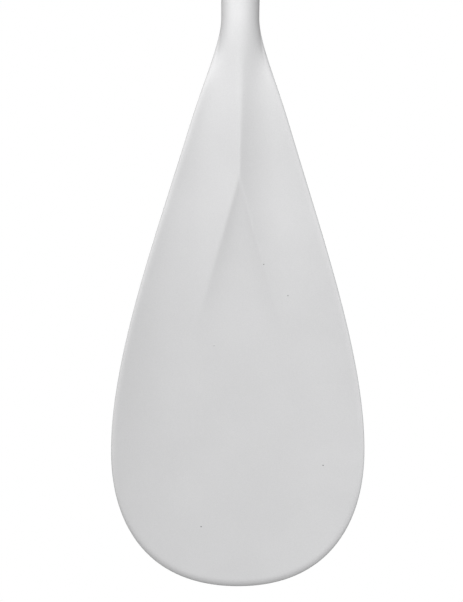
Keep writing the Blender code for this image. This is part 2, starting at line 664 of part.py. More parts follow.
def palm_shell(low, high, half_width_x, half_angle, steps=10, stations=14):
    """A shell on the crossbar's palm side, between two distances from the crossbar's skin."""
    loops = []
    for i in range(stations + 1):
        x = half_width_x * (2 * i / stations - 1)
        angles = [half_angle * (2 * j / steps - 1) for j in range(steps + 1)]
        outside = [crossbar_point(x, a, high) for a in angles]
        inside = [crossbar_point(x, a, low) for a in reversed(angles)]
        loops.append(outside + inside)
    return loft(loops)


def stem():
    """The round stem: a lip at its mouth, then slimmer towards the crossbar."""
    lip = GRIP_START + 10 * MM
    profile = [(0, GRIP_START), (STEM_RADIUS - 1 * MM, GRIP_START), (STEM_RADIUS, GRIP_START + 1 * MM)]
    for i in range(6):
        share = i / 5
        profile.append((STEM_RADIUS + (STEM_WAIST - STEM_RADIUS) * smooth(share), lip + 24 * MM * share))
    profile += [(STEM_WAIST, GRIP_START + 46 * MM), (STEM_WAIST - 2 * MM, GRIP_CENTRE), (0, GRIP_CENTRE)]
    return turned(profile, steps=28)


def flare():
    """The web between stem and crossbar: it spreads sideways as it nears the bar."""
    start = UPPER_END + 3 * MM
    loops = []
    for i in range(8):
        share = i / 7
        y = start + (GRIP_CENTRE - start) * share
        wide = STEM_WAIST - 0.5 * MM + 22 * MM * share ** 2.2
        deep = STEM_WAIST - 0.7 * MM - 2.6 * MM * share
        ring = [(wide * math.cos(math.tau * j / 28), y, deep * math.sin(math.tau * j / 28)) for j in range(28)]
        loops.append(ring)
    return loft(loops)


def grip_screw_hole(name, parent):
    profile = [
        (0, 9 * MM), (SCREW_RADIUS + GAP, 9 * MM), (SCREW_RADIUS + GAP, 15.2 * MM),
        (3.3 * MM, 15.2 * MM), (3.3 * MM, 20 * MM), (0, 20 * MM),
    ]
    bm = turned(profile, centre=(0, GRIP_START + 12 * MM, 0), axis=(0, 0, 1), steps=SMALL_STEPS)
    return piece(name, bm, None, parent, helper=True)


def make_grip(paints, parent, lean):
    core = piece("grip_core", crossbar(), paints["nylon"], parent)
    web = piece("grip_web", flare(), None, parent, helper=True)
    shank = piece("grip_stem", stem(), None, parent, helper=True)
    socket = rod(UPPER_OUTER + GAP, GRIP_START - MM, UPPER_END + GAP)
    socket = piece("grip_socket", socket, None, parent, helper=True)
    recess = palm_shell(-PAD_THICKNESS - GAP, 3 * MM, PAD_HALF_WIDTH + GAP, PAD_HALF_ANGLE + 0.03)
    recess = piece("pad_recess", recess, None, parent, helper=True)
    floor = block((-0.1, -0.1, -0.05), (0.1, 0.1, 0))
    turn = Matrix.Translation((0, GRIP_CENTRE, -REST_DEPTH)) @ Matrix.Rotation(lean, 4, "X")
    bmesh.ops.transform(floor, matrix=turn, verts=floor.verts)
    floor = piece("rest_plane", floor, None, parent, helper=True)
    boolean(core, "UNION", web, shank)
    boolean(core, "DIFFERENCE", socket, recess, floor, grip_screw_hole("grip_screw_hole", parent))
    pad = palm_shell(-PAD_THICKNESS, 0, PAD_HALF_WIDTH, PAD_HALF_ANGLE)
    piece("grip_pad", pad, paints["rubber"], parent)
    profile = [
        (0, UPPER_INNER - 1.5 * MM), (SCREW_RADIUS, UPPER_INNER - 0.8 * MM), (SCREW_RADIUS, 15.5 * MM),
        (2.9 * MM, 15.5 * MM), (2.9 * MM, 16.1 * MM), (1.9 * MM, 16.6 * MM), (0, 16.8 * MM),
    ]
    screw = turned(profile, centre=(0, GRIP_START + 12 * MM, 0), axis=(0, 0, 1), steps=SMALL_STEPS)
    piece("grip_screw", screw, paints["steel"], parent)


def main():
    for obj in list(bpy.data.objects):
        bpy.data.objects.remove(obj)
    paints = {
        "blade": paint("white_nylon", (0.66, 0.66, 0.665), 0.42),
        "alloy": paint("anodised_alloy", (0.62, 0.63, 0.65), 0.34, 1.0),
        "steel": paint("stainless_steel", (0.58, 0.57, 0.55), 0.28, 1.0),
        "nylon": paint("black_nylon", (0.02, 0.02, 0.022), 0.5),
        "rubber": paint("grey_rubber", (0.07, 0.075, 0.08), 0.8),
        "foam": paint("white_foam", (0.8, 0.8, 0.78), 0.95),
    }
    lean, shift, height = lying_pose()
    ground = bpy.data.objects.new("lying_on_the_ground", None)
    bpy.context.scene.collection.objects.link(ground)
    ground.rotation_euler = (-lean, 0, 0)
    ground.location = (0, shift, height)
    holes = make_blade(paints["blade"], ground)
    make_blade_joint(paints, holes, ground)
    make_shafts(paints, ground)
    make_clamp(paints, ground)
    make_grip(paints, ground, lean)


main()
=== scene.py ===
"""The looks of an adjustable stand-up paddle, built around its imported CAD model.

Every piece is modelled in the paddle's own frame, as in the CAD: the shaft's axis is Y with the grip at +Y,
the throat is the origin, and the power face looks to +Z.  PADDLE then places it where the CAD lies.
"""

import json
import math
from bisect import bisect_right

import bmesh
import bpy
from mathutils import Matrix, Vector
from mathutils.geometry import interpolate_bezier


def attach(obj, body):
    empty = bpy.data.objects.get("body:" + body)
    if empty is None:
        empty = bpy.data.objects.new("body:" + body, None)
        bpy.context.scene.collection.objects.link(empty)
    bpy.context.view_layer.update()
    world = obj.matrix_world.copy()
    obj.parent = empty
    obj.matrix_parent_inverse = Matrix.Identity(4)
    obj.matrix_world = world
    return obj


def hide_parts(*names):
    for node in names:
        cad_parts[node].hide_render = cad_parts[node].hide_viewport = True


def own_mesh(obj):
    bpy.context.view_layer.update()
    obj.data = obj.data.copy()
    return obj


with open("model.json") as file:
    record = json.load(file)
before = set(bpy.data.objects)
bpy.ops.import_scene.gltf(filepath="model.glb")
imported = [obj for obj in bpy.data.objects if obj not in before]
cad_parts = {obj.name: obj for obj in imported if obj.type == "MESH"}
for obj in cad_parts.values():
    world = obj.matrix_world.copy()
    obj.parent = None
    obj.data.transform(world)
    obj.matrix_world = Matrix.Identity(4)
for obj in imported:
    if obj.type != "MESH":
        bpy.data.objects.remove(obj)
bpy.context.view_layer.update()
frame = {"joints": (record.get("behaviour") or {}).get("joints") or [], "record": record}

MM = 0.001
GAP = 0.3 * MM

# Blade, as in the CAD
BLADE_LENGTH = 491.5 * MM
HALF_WIDTH = 109 * MM
WIDEST_AT = 375 * MM
SHOULDER = (90 * MM, 42 * MM)
SHOULDER_SLOPE = math.radians(17)
THROAT_RADIUS = 16.3 * MM
RAKE = math.radians(10)
BEND_LENGTH = 270 * MM
EDGE = 2.8 * MM
ROLL = 5.5 * MM               # how far in the power face starts to roll over the rim
PLATE_RISE = 2.5 * MM
PLATE_DROP = 6 * MM
DROP_SPAN = (50 * MM, 160 * MM)
DISH = 14 * MM
DISH_POWER = 4
DISH_GROWTH = 1.5
BLEND_LENGTH = 62 * MM
RIDGE_SLOPE = 0.54
RIDGE_POWER = 2.1
RIDGE_FOOT = (27 * MM, 41 * MM)
FOOT_SPAN = 200 * MM
APEX_AT = 138 * MM
FORK_SLOPE = 0.285
SCOOP_SLOPE = 0.45
SCOOP_END = 280 * MM
RIDGE_SOFTNESS = 0.6 * MM
RIB_HEIGHT = 15 * MM
RIB_END = 330 * MM
RIB_HALF_WIDTH = 26 * MM
FAN_CENTRE = 400 * MM
NECK_LENGTH = 75 * MM
NECK_TOP_RADIUS = 17.6 * MM
BEAD_RADIUS = 18.6 * MM
BEAD_LENGTH = 7 * MM
SOCKET_DEPTH = 70 * MM
SOCKET_RADIUS = 13.3 * MM
TOTAL_LENGTH = 1650 * MM
GRIP_HALF_HEIGHT = 17 * MM

# Joint of blade and shaft
UPPER_OUTER, UPPER_INNER = 13.0 * MM, 11.8 * MM
LOWER_OUTER, LOWER_INNER = 14.5 * MM, 13.3 * MM
LOWER_LENGTH = 820 * MM
FERRULE_REACH = 90 * MM
FERRULE_CAP = 5 * MM
RIVET_AT = 48 * MM
RIVET_RADIUS = 1.6 * MM
RIVET_HEAD = 3.4 * MM
BUTTON_AT = NECK_LENGTH + 40 * MM
BUTTON_RADIUS = 3.8 * MM
BUTTON_PROUD = 2.5 * MM
BUTTON_HOLE = BUTTON_RADIUS + 2 * GAP
SPRING_HALF_WIDTH = 4 * MM
SPRING_THICKNESS = 0.6 * MM

# Clamp
CLAMP_LENGTH = 48 * MM
CLAMP_BELOW = 24 * MM
COLLAR_LOWER_RADIUS = 18.6 * MM
COLLAR_UPPER_RADIUS = 17.4 * MM
COLLAR_GROOVES = 3
SLIT = 3.2 * MM
EAR_LENGTH = 22 * MM
EAR_OUTER = 8.5 * MM
EAR_TOP = 31 * MM
BOLT_HEIGHT = 24.6 * MM
BOLT_RADIUS = 2.5 * MM
THREAD_PITCH = 0.8 * MM
THREAD_DEPTH = 0.4 * MM
WASHER = 1.3 * MM
WASHER_RADIUS = 6.4 * MM
CAM_RADIUS = 6.8 * MM
CAM_THROW = 0.6 * MM
PIN_RADIUS = 4.2 * MM
LEVER_WIDTH = 22 * MM
LEVER_SLOT = 6.6 * MM
LEVER_HALF_THICKNESS = 1.9 * MM
LEVER_ARM_SKIP = 4
NUT_LENGTH = 9 * MM
NUT_RADIUS = 7.8 * MM
NUT_LOBES = 6
NUT_LOBE_DEPTH = 1.3 * MM
SEAL_DEPTH = 4 * MM
SEAL_RADIUS = 15.2 * MM
SCREW_RADIUS = 1.5 * MM
SCREW_HEAD = 2.9 * MM
SCREW_BORE = 3.3 * MM
COLLAR_SCREW_SEAT = 16.6 * MM
GRIP_SCREW_SEAT = 15.2 * MM
HEX_RECESS = 1.15 * MM

# Shafts and their length marks
PLUG_LENGTH = 16 * MM
FOAM_LENGTH = 40 * MM
NUMERAL_SIZE = 5.2 * MM
MARK_CLEAR = 3 * MM
MARK_COUNT = 46

# Grip
GRIP_HALF_WIDTH = 57 * MM
GRIP_LENGTH = 104 * MM
GRIP_HALF_DEPTH = 15 * MM
GRIP_DROOP = 6 * MM
GRIP_SOCKET = 38 * MM
STEM_RADIUS = 16.8 * MM
STEM_WAIST = 15.4 * MM
REST_DEPTH = 14.2 * MM
PAD_THICKNESS = 2 * MM
PAD_HALF_WIDTH = 47 * MM
PAD_HALF_ANGLE = math.radians(62)
RIB_ANGLE = math.radians(11)

# How finely things are meshed
ROUND_STEPS = 96
FASTENER_STEPS = 48
CHAMFER = 0.3 * MM
BLADE_ROWS = 240
FLAT_COLUMNS = 56
RIM_COLUMNS = 8

WHITE = (0.50, 0.50, 0.505)

# Camera and light
CAMERA_DISTANCE = 3.6           # above a point CAMERA_DATUM over the floor
CAMERA_DATUM = 0.03
PICTURE_HEIGHT = 518.322 * MM   # how much of the blade the picture shows, from top to bottom
CAMERA_ROLL = math.radians(0.334)
VIEW_CENTRE = (-6.1 * MM, -242 * MM)
# Soft boxes far off, as lobes of the world's light over an even level: towards, radiance,
# and the cosines between which the lobe fades in
EVEN_LEVEL = 0.05
LOBES = (
    ((0.00, 0.50, 0.87), 1.41, (0.0, 1.0)),
    ((0.00, 0.00, 1.00), 0.15, (0.0, 1.0)),
    ((-0.87, 0.00, 0.50), 1.80, (0.90, 0.98)),
)
# Soft boxes close by: name, at, towards, power in watts
BOX_SIDE = 0.3
BOXES = (
    ("neck_box", (-0.10, 0.10, 0.45), (0.00, -0.40, 0.00), 2.5),
    ("low_box", (0.40, -0.90, 0.40), (0.05, -0.75, 0.00), 0.48),
)
FLOOR_REACH = 40
FLOOR_GREY = (0.2, 0.2, 0.2)
FLOOR_CLEARANCE = 0.2 * MM


def quarter(steps, first=0):
    """(sine, cosine) of the angles of a quarter turn."""
    angles = [math.pi / 2 * i / steps for i in range(first, steps + 1)]
    return [(math.sin(angle), math.cos(angle)) for angle in angles]


def smooth(t):
    t = min(max(t, 0), 1)
    return t * t * (3 - 2 * t)


def soft_max(value, softness):
    """max(value, 0) with its corner rounded over about the given softness."""
    return (value + math.sqrt(value * value + softness * softness)) / 2


def centreline(s):
    """(y, z, lean) of the centreline, s below the throat. The neck, with s under 0, is straight."""
    radius = BEND_LENGTH / RAKE
    if s <= 0:
        return -s, 0.0, 0.0
    lean = min(s / BEND_LENGTH, 1) * RAKE
    straight = max(s - BEND_LENGTH, 0)
    y = -radius * math.sin(lean) - straight * math.cos(lean)
    z = -radius * (1 - math.cos(lean)) - straight * math.sin(lean)
    return y, z, lean


TIP_Y = centreline(BLADE_LENGTH)[0]
GRIP_TOP = TOTAL_LENGTH + TIP_Y
GRIP_START = GRIP_TOP - GRIP_LENGTH
GRIP_CENTRE = GRIP_TOP - GRIP_HALF_HEIGHT
UPPER_END = GRIP_START + GRIP_SOCKET
LOWER_START = NECK_LENGTH + GAP
LOWER_END = LOWER_START + LOWER_LENGTH
FERRULE_START = NECK_LENGTH - SOCKET_DEPTH + GAP
FERRULE_END = NECK_LENGTH + FERRULE_REACH
PLUG_START = FERRULE_END + FERRULE_CAP + GAP
UPPER_START = PLUG_START + PLUG_LENGTH + GAP
CLAMP_START = LOWER_END - CLAMP_BELOW
CLAMP_END = CLAMP_START + CLAMP_LENGTH
BOLT_AT = CLAMP_END - 2 * MM - EAR_LENGTH / 2
COLLAR_SCREW_AT = CLAMP_START + 8 * MM
GRIP_SCREW_AT = GRIP_START + 12 * MM
CAM_X = EAR_OUTER + WASHER + 2 * GAP + CAM_RADIUS + CAM_THROW


def paddle_frame():
    """The matrix from the paddle's own frame to the CAD's, read from the joint that the grip twists on."""
    twist = next(joint for joint in frame["joints"] if joint["name"] == "grip_twist")
    along = Vector(twist["axis"])
    right = Vector((1, 0, 0))
    matrix = Matrix((right, along, right.cross(along))).transposed().to_4x4()
    matrix.translation = Vector(twist["pos_m"]) - along * GRIP_CENTRE
    return matrix


PADDLE = paddle_frame()
NODES_ON = frame["record"]["behaviour"]["bodies"]
BODIES = {node: body for body, nodes in NODES_ON.items() for node in nodes}


# ---- Meshes ----

def add_piece(name, bm, material, sharp=35):
    """A bmesh of the paddle's own frame as a smooth-shaded object, placed where the CAD lies."""
    bmesh.ops.remove_doubles(bm, verts=bm.verts, dist=1e-7)
    bmesh.ops.recalc_face_normals(bm, faces=bm.faces)
    mesh = bpy.data.meshes.new(name)
    bm.to_mesh(mesh)
    bm.free()
    mesh.materials.append(material)
    mesh.shade_smooth()
    mesh.set_sharp_from_angle(angle=math.radians(sharp))
    mesh.transform(PADDLE)
    obj = bpy.data.objects.new(name, mesh)
    bpy.context.scene.collection.objects.link(obj)
    return obj


def loft(loops):
    """A skin through loops of points, each closed and with the same number of points."""
    bm = bmesh.new()
    rings = [[bm.verts.new(point) for point in loop] for loop in loops]
    count = len(rings[0])
    for one, two in zip(rings, rings[1:]):
        for i in range(count):
            j = (i + 1) % count
            bm.faces.new((one[i], one[j], two[j], two[i]))
    return bm, rings


def capped(loops):
    """A closed body through loops of points, with a face over each end."""
    bm, rings = loft(loops)
    bm.faces.new(rings[0])
    bm.faces.new(rings[-1])
    return bm


# ---- Shapes ----

def turned(profile, centre=(0, 0, 0), axis=(0, 1, 0), steps=ROUND_STEPS):
    """A closed profile of (radius, distance along the axis) turned about the axis through centre."""
    bm = bmesh.new()
    verts = [bm.verts.new((radius, 0, along)) for radius, along in profile]
    edges = [bm.edges.new((a, b)) for a, b in zip(verts, verts[1:] + verts[:1])]
    bmesh.ops.spin(bm, geom=verts + edges, cent=(0, 0, 0), axis=(0, 0, 1),
                   angle=math.tau, steps=steps, use_merge=True)
    bmesh.ops.remove_doubles(bm, verts=bm.verts, dist=1e-7)
    turn = Vector((0, 0, 1)).rotation_difference(Vector(axis)).to_matrix().to_4x4()
    bmesh.ops.transform(bm, matrix=Matrix.Translation(centre) @ turn, verts=bm.verts)
    flat = [face for face in bm.faces if face.calc_area() < 1e-14]
    bmesh.ops.delete(bm, geom=flat, context="FACES")
    return bm


def rounded_tube(outer, inner, start, end, chamfer=CHAMFER, **where):
    """A tube whose four rims are chamfered. An inner radius of 0 makes a rod."""
    outside = [(outer - chamfer, start), (outer, start + chamfer),
               (outer, end - chamfer), (outer - chamfer, end)]
    if inner:
        inside = [(inner + chamfer, end), (inner, end - chamfer),
                  (inner, start + chamfer), (inner + chamfer, start)]
    else:
        inside = [(0, end), (0, start)]
    return turned(outside + inside, **where)


def drill(radius, low, high, steps=FASTENER_STEPS, **where):
    """A rod that a Boolean takes away."""
    return turned([(0, low), (radius, low), (radius, high), (0, high)], steps=steps, **where)


def block(low, high):
    """A box from its lowest to its highest corner."""
    bm = bmesh.new()
    bmesh.ops.create_cube(bm, size=1)
    bmesh.ops.scale(bm, vec=[b - a for a, b in zip(low, high)], verts=bm.verts)
    bmesh.ops.translate(bm, vec=[(a + b) / 2 for a, b in zip(low, high)], verts=bm.verts)
    return bm


def extruded(outline, low, high, round_edge=0.0):
    """An outline of (x, z) points pushed along Y from low to high, with its edges rounded."""
    bm = capped([[(x, y, z) for x, z in outline] for y in (low, high)])
    bmesh.ops.recalc_face_normals(bm, faces=bm.faces)
    if round_edge:
        rims = [edge for edge in bm.edges if edge.calc_face_angle() > math.radians(50)]
        bmesh.ops.bevel(bm, geom=rims, offset=round_edge, segments=4, profile=0.5, affect="EDGES",
                        clamp_overlap=True)
    return bm


def helper_object(bm):
    bmesh.ops.recalc_face_normals(bm, faces=bm.faces)
    mesh = bpy.data.meshes.new("helper")
    bm.to_mesh(mesh)
    bm.free()
    obj = bpy.data.objects.new("helper", mesh)
    bpy.context.scene.collection.objects.link(obj)
    return obj


def modified(obj):
    """The bmesh of an object with its modifiers applied."""
    bpy.context.view_layer.update()
    graph = bpy.context.evaluated_depsgraph_get()
    mesh = bpy.data.meshes.new_from_object(obj.evaluated_get(graph))
    bm = bmesh.new()
    bm.from_mesh(mesh)
    bpy.data.meshes.remove(mesh)
    return bm


def combine(bm, operation, *others):
    """The bmesh after a Boolean with each of the others."""
    target = helper_object(bm)
    helpers = [helper_object(other) for other in others]
    for helper in helpers:
        modifier = target.modifiers.new("combine", "BOOLEAN")
        modifier.operation = operation
        modifier.solver = "EXACT"
        modifier.object = helper
    result = modified(target)
    for obj in [target, *helpers]:
        bpy.data.objects.remove(obj)
    return result


def melted(bm, voxel, passes):
    """The bmesh as one even skin, with its inner corners smoothed as in a moulding."""
    target = helper_object(bm)
    remesh = target.modifiers.new("remesh", "REMESH")
    remesh.mode = "VOXEL"
    remesh.voxel_size = voxel
    smoothing = target.modifiers.new("smooth", "SMOOTH")
    smoothing.factor = 0.5
    smoothing.iterations = passes
    result = modified(target)
    bpy.data.objects.remove(target)
    return result


def finish_piece(name, bm, material, node, slot, **shading):
    """A piece that stands for a CAD node and rides on that node's body, with the finish it takes."""
    obj = add_piece(name, bm, material, **shading)
    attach(obj, BODIES[node])
    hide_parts(node)
    return obj


# ---- Blade ----

def blade_outline(points_each=161):
    """(s, half width) from the throat to the tip."""
    shoulder = Vector((*SHOULDER, 0))
    heading = Vector((math.cos(SHOULDER_SLOPE), math.sin(SHOULDER_SLOPE), 0))
    throat = Vector((0, THROAT_RADIUS, 0))
    widest = Vector((WIDEST_AT, HALF_WIDTH, 0))
    tip = Vector((BLADE_LENGTH, 0, 0))
    down = Vector((1, 0, 0))
    out = Vector((0, 1, 0))
    spans = (
        (throat, throat + 20 * MM * down, shoulder - 37 * MM * heading, shoulder),
        (shoulder, shoulder + 98 * MM * heading, widest - 81 * MM * down, widest),
        (widest, widest + 75 * MM * down, tip + 68 * MM * out, tip),
    )
    points = []
    for span in spans:
        curve = interpolate_bezier(*span, points_each)
        points += [(p.x, p.y) for p in curve[1 if points else 0:]]
    return points


OUTLINE = blade_outline()
OUTLINE_S = [s for s, _ in OUTLINE]


def half_width(s):
    """Half the blade's width at s, read from the outline."""
    i = min(max(bisect_right(OUTLINE_S, s), 1), len(OUTLINE) - 1)
    (s0, w0), (s1, w1) = OUTLINE[i - 1], OUTLINE[i]
    share = min(max((s - s0) / (s1 - s0), 0), 1)
    return w0 + (w1 - w0) * share


def ridge_height(s, x):
    """Height of the central ridge over the plate. Past the apex a scoop cuts off its top."""
    foot = RIDGE_FOOT[0] + (RIDGE_FOOT[1] - RIDGE_FOOT[0]) * smooth(s / FOOT_SPAN)
    roundness = 0.5 * MM + 5 * MM * (1 - smooth(s / APEX_AT))
    fork = max(s - APEX_AT, 0) * FORK_SLOPE
    from_centre = math.hypot(x, roundness) - roundness
    out = min(fork + soft_max(from_centre - fork, RIDGE_SOFTNESS), foot)
    height = RIDGE_SLOPE * foot / RIDGE_POWER * (1 - out / foot) ** RIDGE_POWER
    if fork:
        inside = soft_max(fork - x, RIDGE_SOFTNESS)
        fade = 1 - smooth((s - APEX_AT) / (SCOOP_END - APEX_AT))
        height -= SCOOP_SLOPE / 2 * fade * inside * (1 + min(x / fork, 1))
    return height


def face_heights(s, x, inward):
    """(power face, back) heights over the centreline, where inward is the distance in from the rim."""
    x = abs(x)
    rim = 1 - min(inward / EDGE, 1)
    roll = 1 - min(inward / ROLL, 1)
    half_plate = EDGE * math.sqrt(1 - rim * rim)
    width = max(half_width(min(s, WIDEST_AT)), EDGE)
    drop = PLATE_DROP * smooth((s - DROP_SPAN[0]) / (DROP_SPAN[1] - DROP_SPAN[0]))
    dish = DISH * (width / HALF_WIDTH) ** DISH_GROWTH * (x / width) ** DISH_POWER
    middle = PLATE_RISE - drop + dish
    rib = RIB_HEIGHT * max(1 - s / RIB_END, 0) ** 1.4
    rib *= (1 + math.cos(math.pi * min(x / RIB_HALF_WIDTH, 1))) / 2
    cover = 1 - rim * rim
    power_face = middle + EDGE * math.sqrt(1 - roll * roll) + ridge_height(s, x) * cover
    return power_face, middle - half_plate - rib * cover


def in_paddle(x, s, height):
    """A point of the blade's own frame in the paddle's frame."""
    y, z, lean = centreline(s)
    return x, y + height * math.sin(lean), z + height * math.cos(lean)


def blade_station(s, width, centre_s, blend):
    """One closed loop of points across the blade: the power face from -X to +X, then the back."""
    columns = FLAT_COLUMNS + RIM_COLUMNS
    reach = math.hypot(width, s - centre_s)
    rim = min(ROLL, reach * 0.9) / reach if reach else 0
    front, back = [], []
    for side in range(-columns, columns + 1):
        index = abs(side)
        sign = (side > 0) - (side < 0)
        if index <= FLAT_COLUMNS:
            flat_share = (1 - rim) * (index / FLAT_COLUMNS) ** 1.15
        else:
            turn = math.pi / 2 * (columns - index) / RIM_COLUMNS
            flat_share = 1 - rim * (1 - math.cos(turn))
        angle = math.pi / 2 * index / columns
        share = (1 - blend) * math.sin(angle) + blend * flat_share
        x = sign * width * share
        point_s = centre_s + (s - centre_s) * share
        top, under = face_heights(point_s, x, (1 - share) * reach)
        round_z = THROAT_RADIUS * math.cos(angle)
        front.append(in_paddle(x, point_s, (1 - blend) * round_z + blend * top))
        back.append(in_paddle(x, point_s, -(1 - blend) * round_z + blend * under))
    return front + back[-2:0:-1]


def neck_station(s, radius):
    """A round loop with as many points as a blade station, and starting where one starts."""
    count = 4 * (FLAT_COLUMNS + RIM_COLUMNS)
    angles = [math.pi - math.tau * i / count for i in range(count)]
    return [(radius * math.cos(a), -s, radius * math.sin(a)) for a in angles]


def neck_profile():
    """(s, radius) down the neck, from inside the socket, over its mouth and bead, to the throat."""
    corner = 0.8 * MM
    mouth = -NECK_LENGTH
    bead_end = mouth + BEAD_LENGTH
    profile = [(SOCKET_DEPTH - NECK_LENGTH, SOCKET_RADIUS), (mouth + corner, SOCKET_RADIUS)]
    profile += [(mouth, SOCKET_RADIUS + 0.5 * MM), (mouth, BEAD_RADIUS - corner)]
    for sine, cosine in quarter(5, first=1):
        profile.append((mouth + corner * (1 - cosine), BEAD_RADIUS - corner * (1 - sine)))
    fillet = 1.2 * MM
    for sine, cosine in quarter(5, first=1):
        profile.append((bead_end - fillet * (1 - sine), BEAD_RADIUS - fillet * (1 - cosine)))
    for i in range(1, 60):
        s = bead_end * (1 - i / 60)
        profile.append((s, THROAT_RADIUS + (NECK_TOP_RADIUS - THROAT_RADIUS) * smooth(-s / NECK_LENGTH)))
    return profile


def make_blade(material):
    loops = [neck_station(s, radius) for s, radius in neck_profile()]
    total = len(OUTLINE) - 1
    for row in range(BLADE_ROWS + 1):
        s, width = OUTLINE[round(total * row / BLADE_ROWS)]
        past = max(s - (FAN_CENTRE - 60 * MM), 0)
        centre_s = s - past + 60 * MM * (1 - math.exp(-past / (60 * MM)))
        loops.append(blade_station(s, width, centre_s, smooth(s / BLEND_LENGTH)))
    bm, rings = loft(loops)
    bm.faces.new(rings[0])
    bm = combine(bm, "DIFFERENCE", rivet_hole(-1), rivet_hole(1))
    finish_piece("blade_shell", bm, material, "blade", "white_nylon", sharp=60)


# ---- Blade joint ----

def rivet_hole(side):
    return drill(RIVET_RADIUS + GAP, 8 * MM, 24 * MM, centre=(0, RIVET_AT, 0), axis=(side, 0, 0))


def make_rivet(name, side, material):
    """A pop rivet: a domed head round the broken mandrel, and a swollen tail in the ferrule."""
    share = RIVET_AT / NECK_LENGTH
    skin = THROAT_RADIUS + (NECK_TOP_RADIUS - THROAT_RADIUS) * smooth(share) + GAP
    tail = UPPER_INNER - GAP
    head = 1.3 * MM
    profile = [(0, tail - 2.2 * MM), (2.4 * MM, tail - 2 * MM), (2.6 * MM, tail - 0.6 * MM),
               (RIVET_RADIUS, tail), (RIVET_RADIUS, skin), (RIVET_HEAD - 0.2 * MM, skin)]
    for i in range(9):
        share = 1 - i / 8 * 0.68
        profile.append((RIVET_HEAD * share, skin + 0.2 * MM + (head - 0.2 * MM) * (1 - share * share)))
    profile += [(0.9 * MM, skin + 0.55 * MM), (0.75 * MM, skin + 0.6 * MM), (0.6 * MM, skin + 0.85 * MM),
                (0, skin + 0.9 * MM)]
    bm = turned(profile, centre=(0, RIVET_AT, 0), axis=(side, 0, 0), steps=FASTENER_STEPS)
    finish_piece(f"rivet_{name}", bm, material, f"neck_rivet_{name}", "stainless_steel")


def button_hole():
    return drill(BUTTON_HOLE, 6 * MM, 20 * MM, centre=(0, BUTTON_AT, 0), axis=(0, 0, 1))


def make_snap_button(material):
    top = LOWER_OUTER + BUTTON_PROUD
    flange = 10.1 * MM
    dome = 1.6 * MM
    profile = [(0, flange - MM), (5.0 * MM, flange - MM), (5.2 * MM, flange - 0.8 * MM),
               (5.2 * MM, flange - 0.2 * MM), (5.0 * MM, flange), (BUTTON_RADIUS, flange)]
    for sine, cosine in quarter(10):
        profile.append((BUTTON_RADIUS * cosine, top - dome * (1 - sine)))
    bm = turned(profile, centre=(0, BUTTON_AT, 0), axis=(0, 0, 1), steps=FASTENER_STEPS)
    finish_piece("button_dome", bm, material, "snap_button", "stainless_steel")


def make_snap_spring(material):
    """A strip bent into a V. Its mesh keeps this one shape; the real spring closes as the button goes down.
    """
    bend = FERRULE_END - 17 * MM
    leg_end = BUTTON_AT - 8 * MM
    radius = 1.6 * MM
    high, low = 8.5 * MM, -10.5 * MM
    path = [Vector((leg_end, high)), Vector((BUTTON_AT + 8 * MM, high - 0.2 * MM))]
    for i in range(33):
        angle = math.radians(80 - 5 * i)
        path.append(Vector((bend + radius * math.cos(angle), radius * math.sin(angle))))
    path.append(Vector((leg_end, low)))
    outer, inner = [], []
    for i, point in enumerate(path):
        heading = (path[min(i + 1, len(path) - 1)] - path[max(i - 1, 0)]).normalized()
        side = Vector((-heading.y, heading.x)) * SPRING_THICKNESS / 2
        outer.append(point + side)
        inner.append(point - side)
    outline = outer + inner[::-1]
    strip = capped([[(x, y, z) for y, z in outline] for x in (-SPRING_HALF_WIDTH, SPRING_HALF_WIDTH)])
    spring = finish_piece("spring_leaf", strip, material, "snap_spring", "stainless_steel")
    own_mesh(spring)


def make_blade_joint(paints):
    ferrule = rounded_tube(UPPER_OUTER, UPPER_INNER, FERRULE_START, FERRULE_END)
    ferrule = combine(ferrule, "DIFFERENCE", rivet_hole(-1), rivet_hole(1), button_hole())
    finish_piece("ferrule_tube", ferrule, paints["alloy"], "ferrule", "anodised_alloy")
    make_rivet("left", -1, paints["steel"])
    make_rivet("right", 1, paints["steel"])
    inside = UPPER_INNER - GAP
    profile = [(0, FERRULE_END - 12 * MM), (inside - CHAMFER, FERRULE_END - 12 * MM),
               (inside, FERRULE_END - 12 * MM + CHAMFER), (inside, FERRULE_END + GAP),
               (UPPER_OUTER, FERRULE_END + GAP), (UPPER_OUTER, FERRULE_END + 2 * MM),
               (UPPER_OUTER - 2 * MM, FERRULE_END + FERRULE_CAP), (0, FERRULE_END + FERRULE_CAP)]
    finish_piece("end_cap", turned(profile), paints["rubber"], "ferrule_cap", "grey_rubber")
    make_snap_button(paints["steel"])
    make_snap_spring(paints["steel"])


# ---- Clamp ----

def ear_outline():
    """The two ears as one block across the slit: a pad with a round top, tapering out to the collar."""
    foot = COLLAR_UPPER_RADIUS - 1.6 * MM
    corner = 3 * MM
    points = [(-10.5 * MM, foot - 6 * MM), (-EAR_OUTER, foot + 2 * MM), (-EAR_OUTER, EAR_TOP - corner)]
    for i in range(1, 13):
        angle = math.pi - math.pi / 24 * i
        points.append((corner * (1 + math.cos(angle)) - EAR_OUTER,
                       EAR_TOP - corner * (1 - math.sin(angle))))
    return points + [(-x, z) for x, z in reversed(points)]


def screw_hole(at, axis, seat):
    """A screw's way through a wall, with a counterbore for its head from the seat outwards."""
    way = SCREW_RADIUS + GAP
    start, end = 9 * MM, 22 * MM
    profile = [(0, start), (way, start), (way, seat), (SCREW_BORE, seat), (SCREW_BORE, end), (0, end)]
    return turned(profile, centre=(0, at, 0), axis=axis, steps=FASTENER_STEPS)


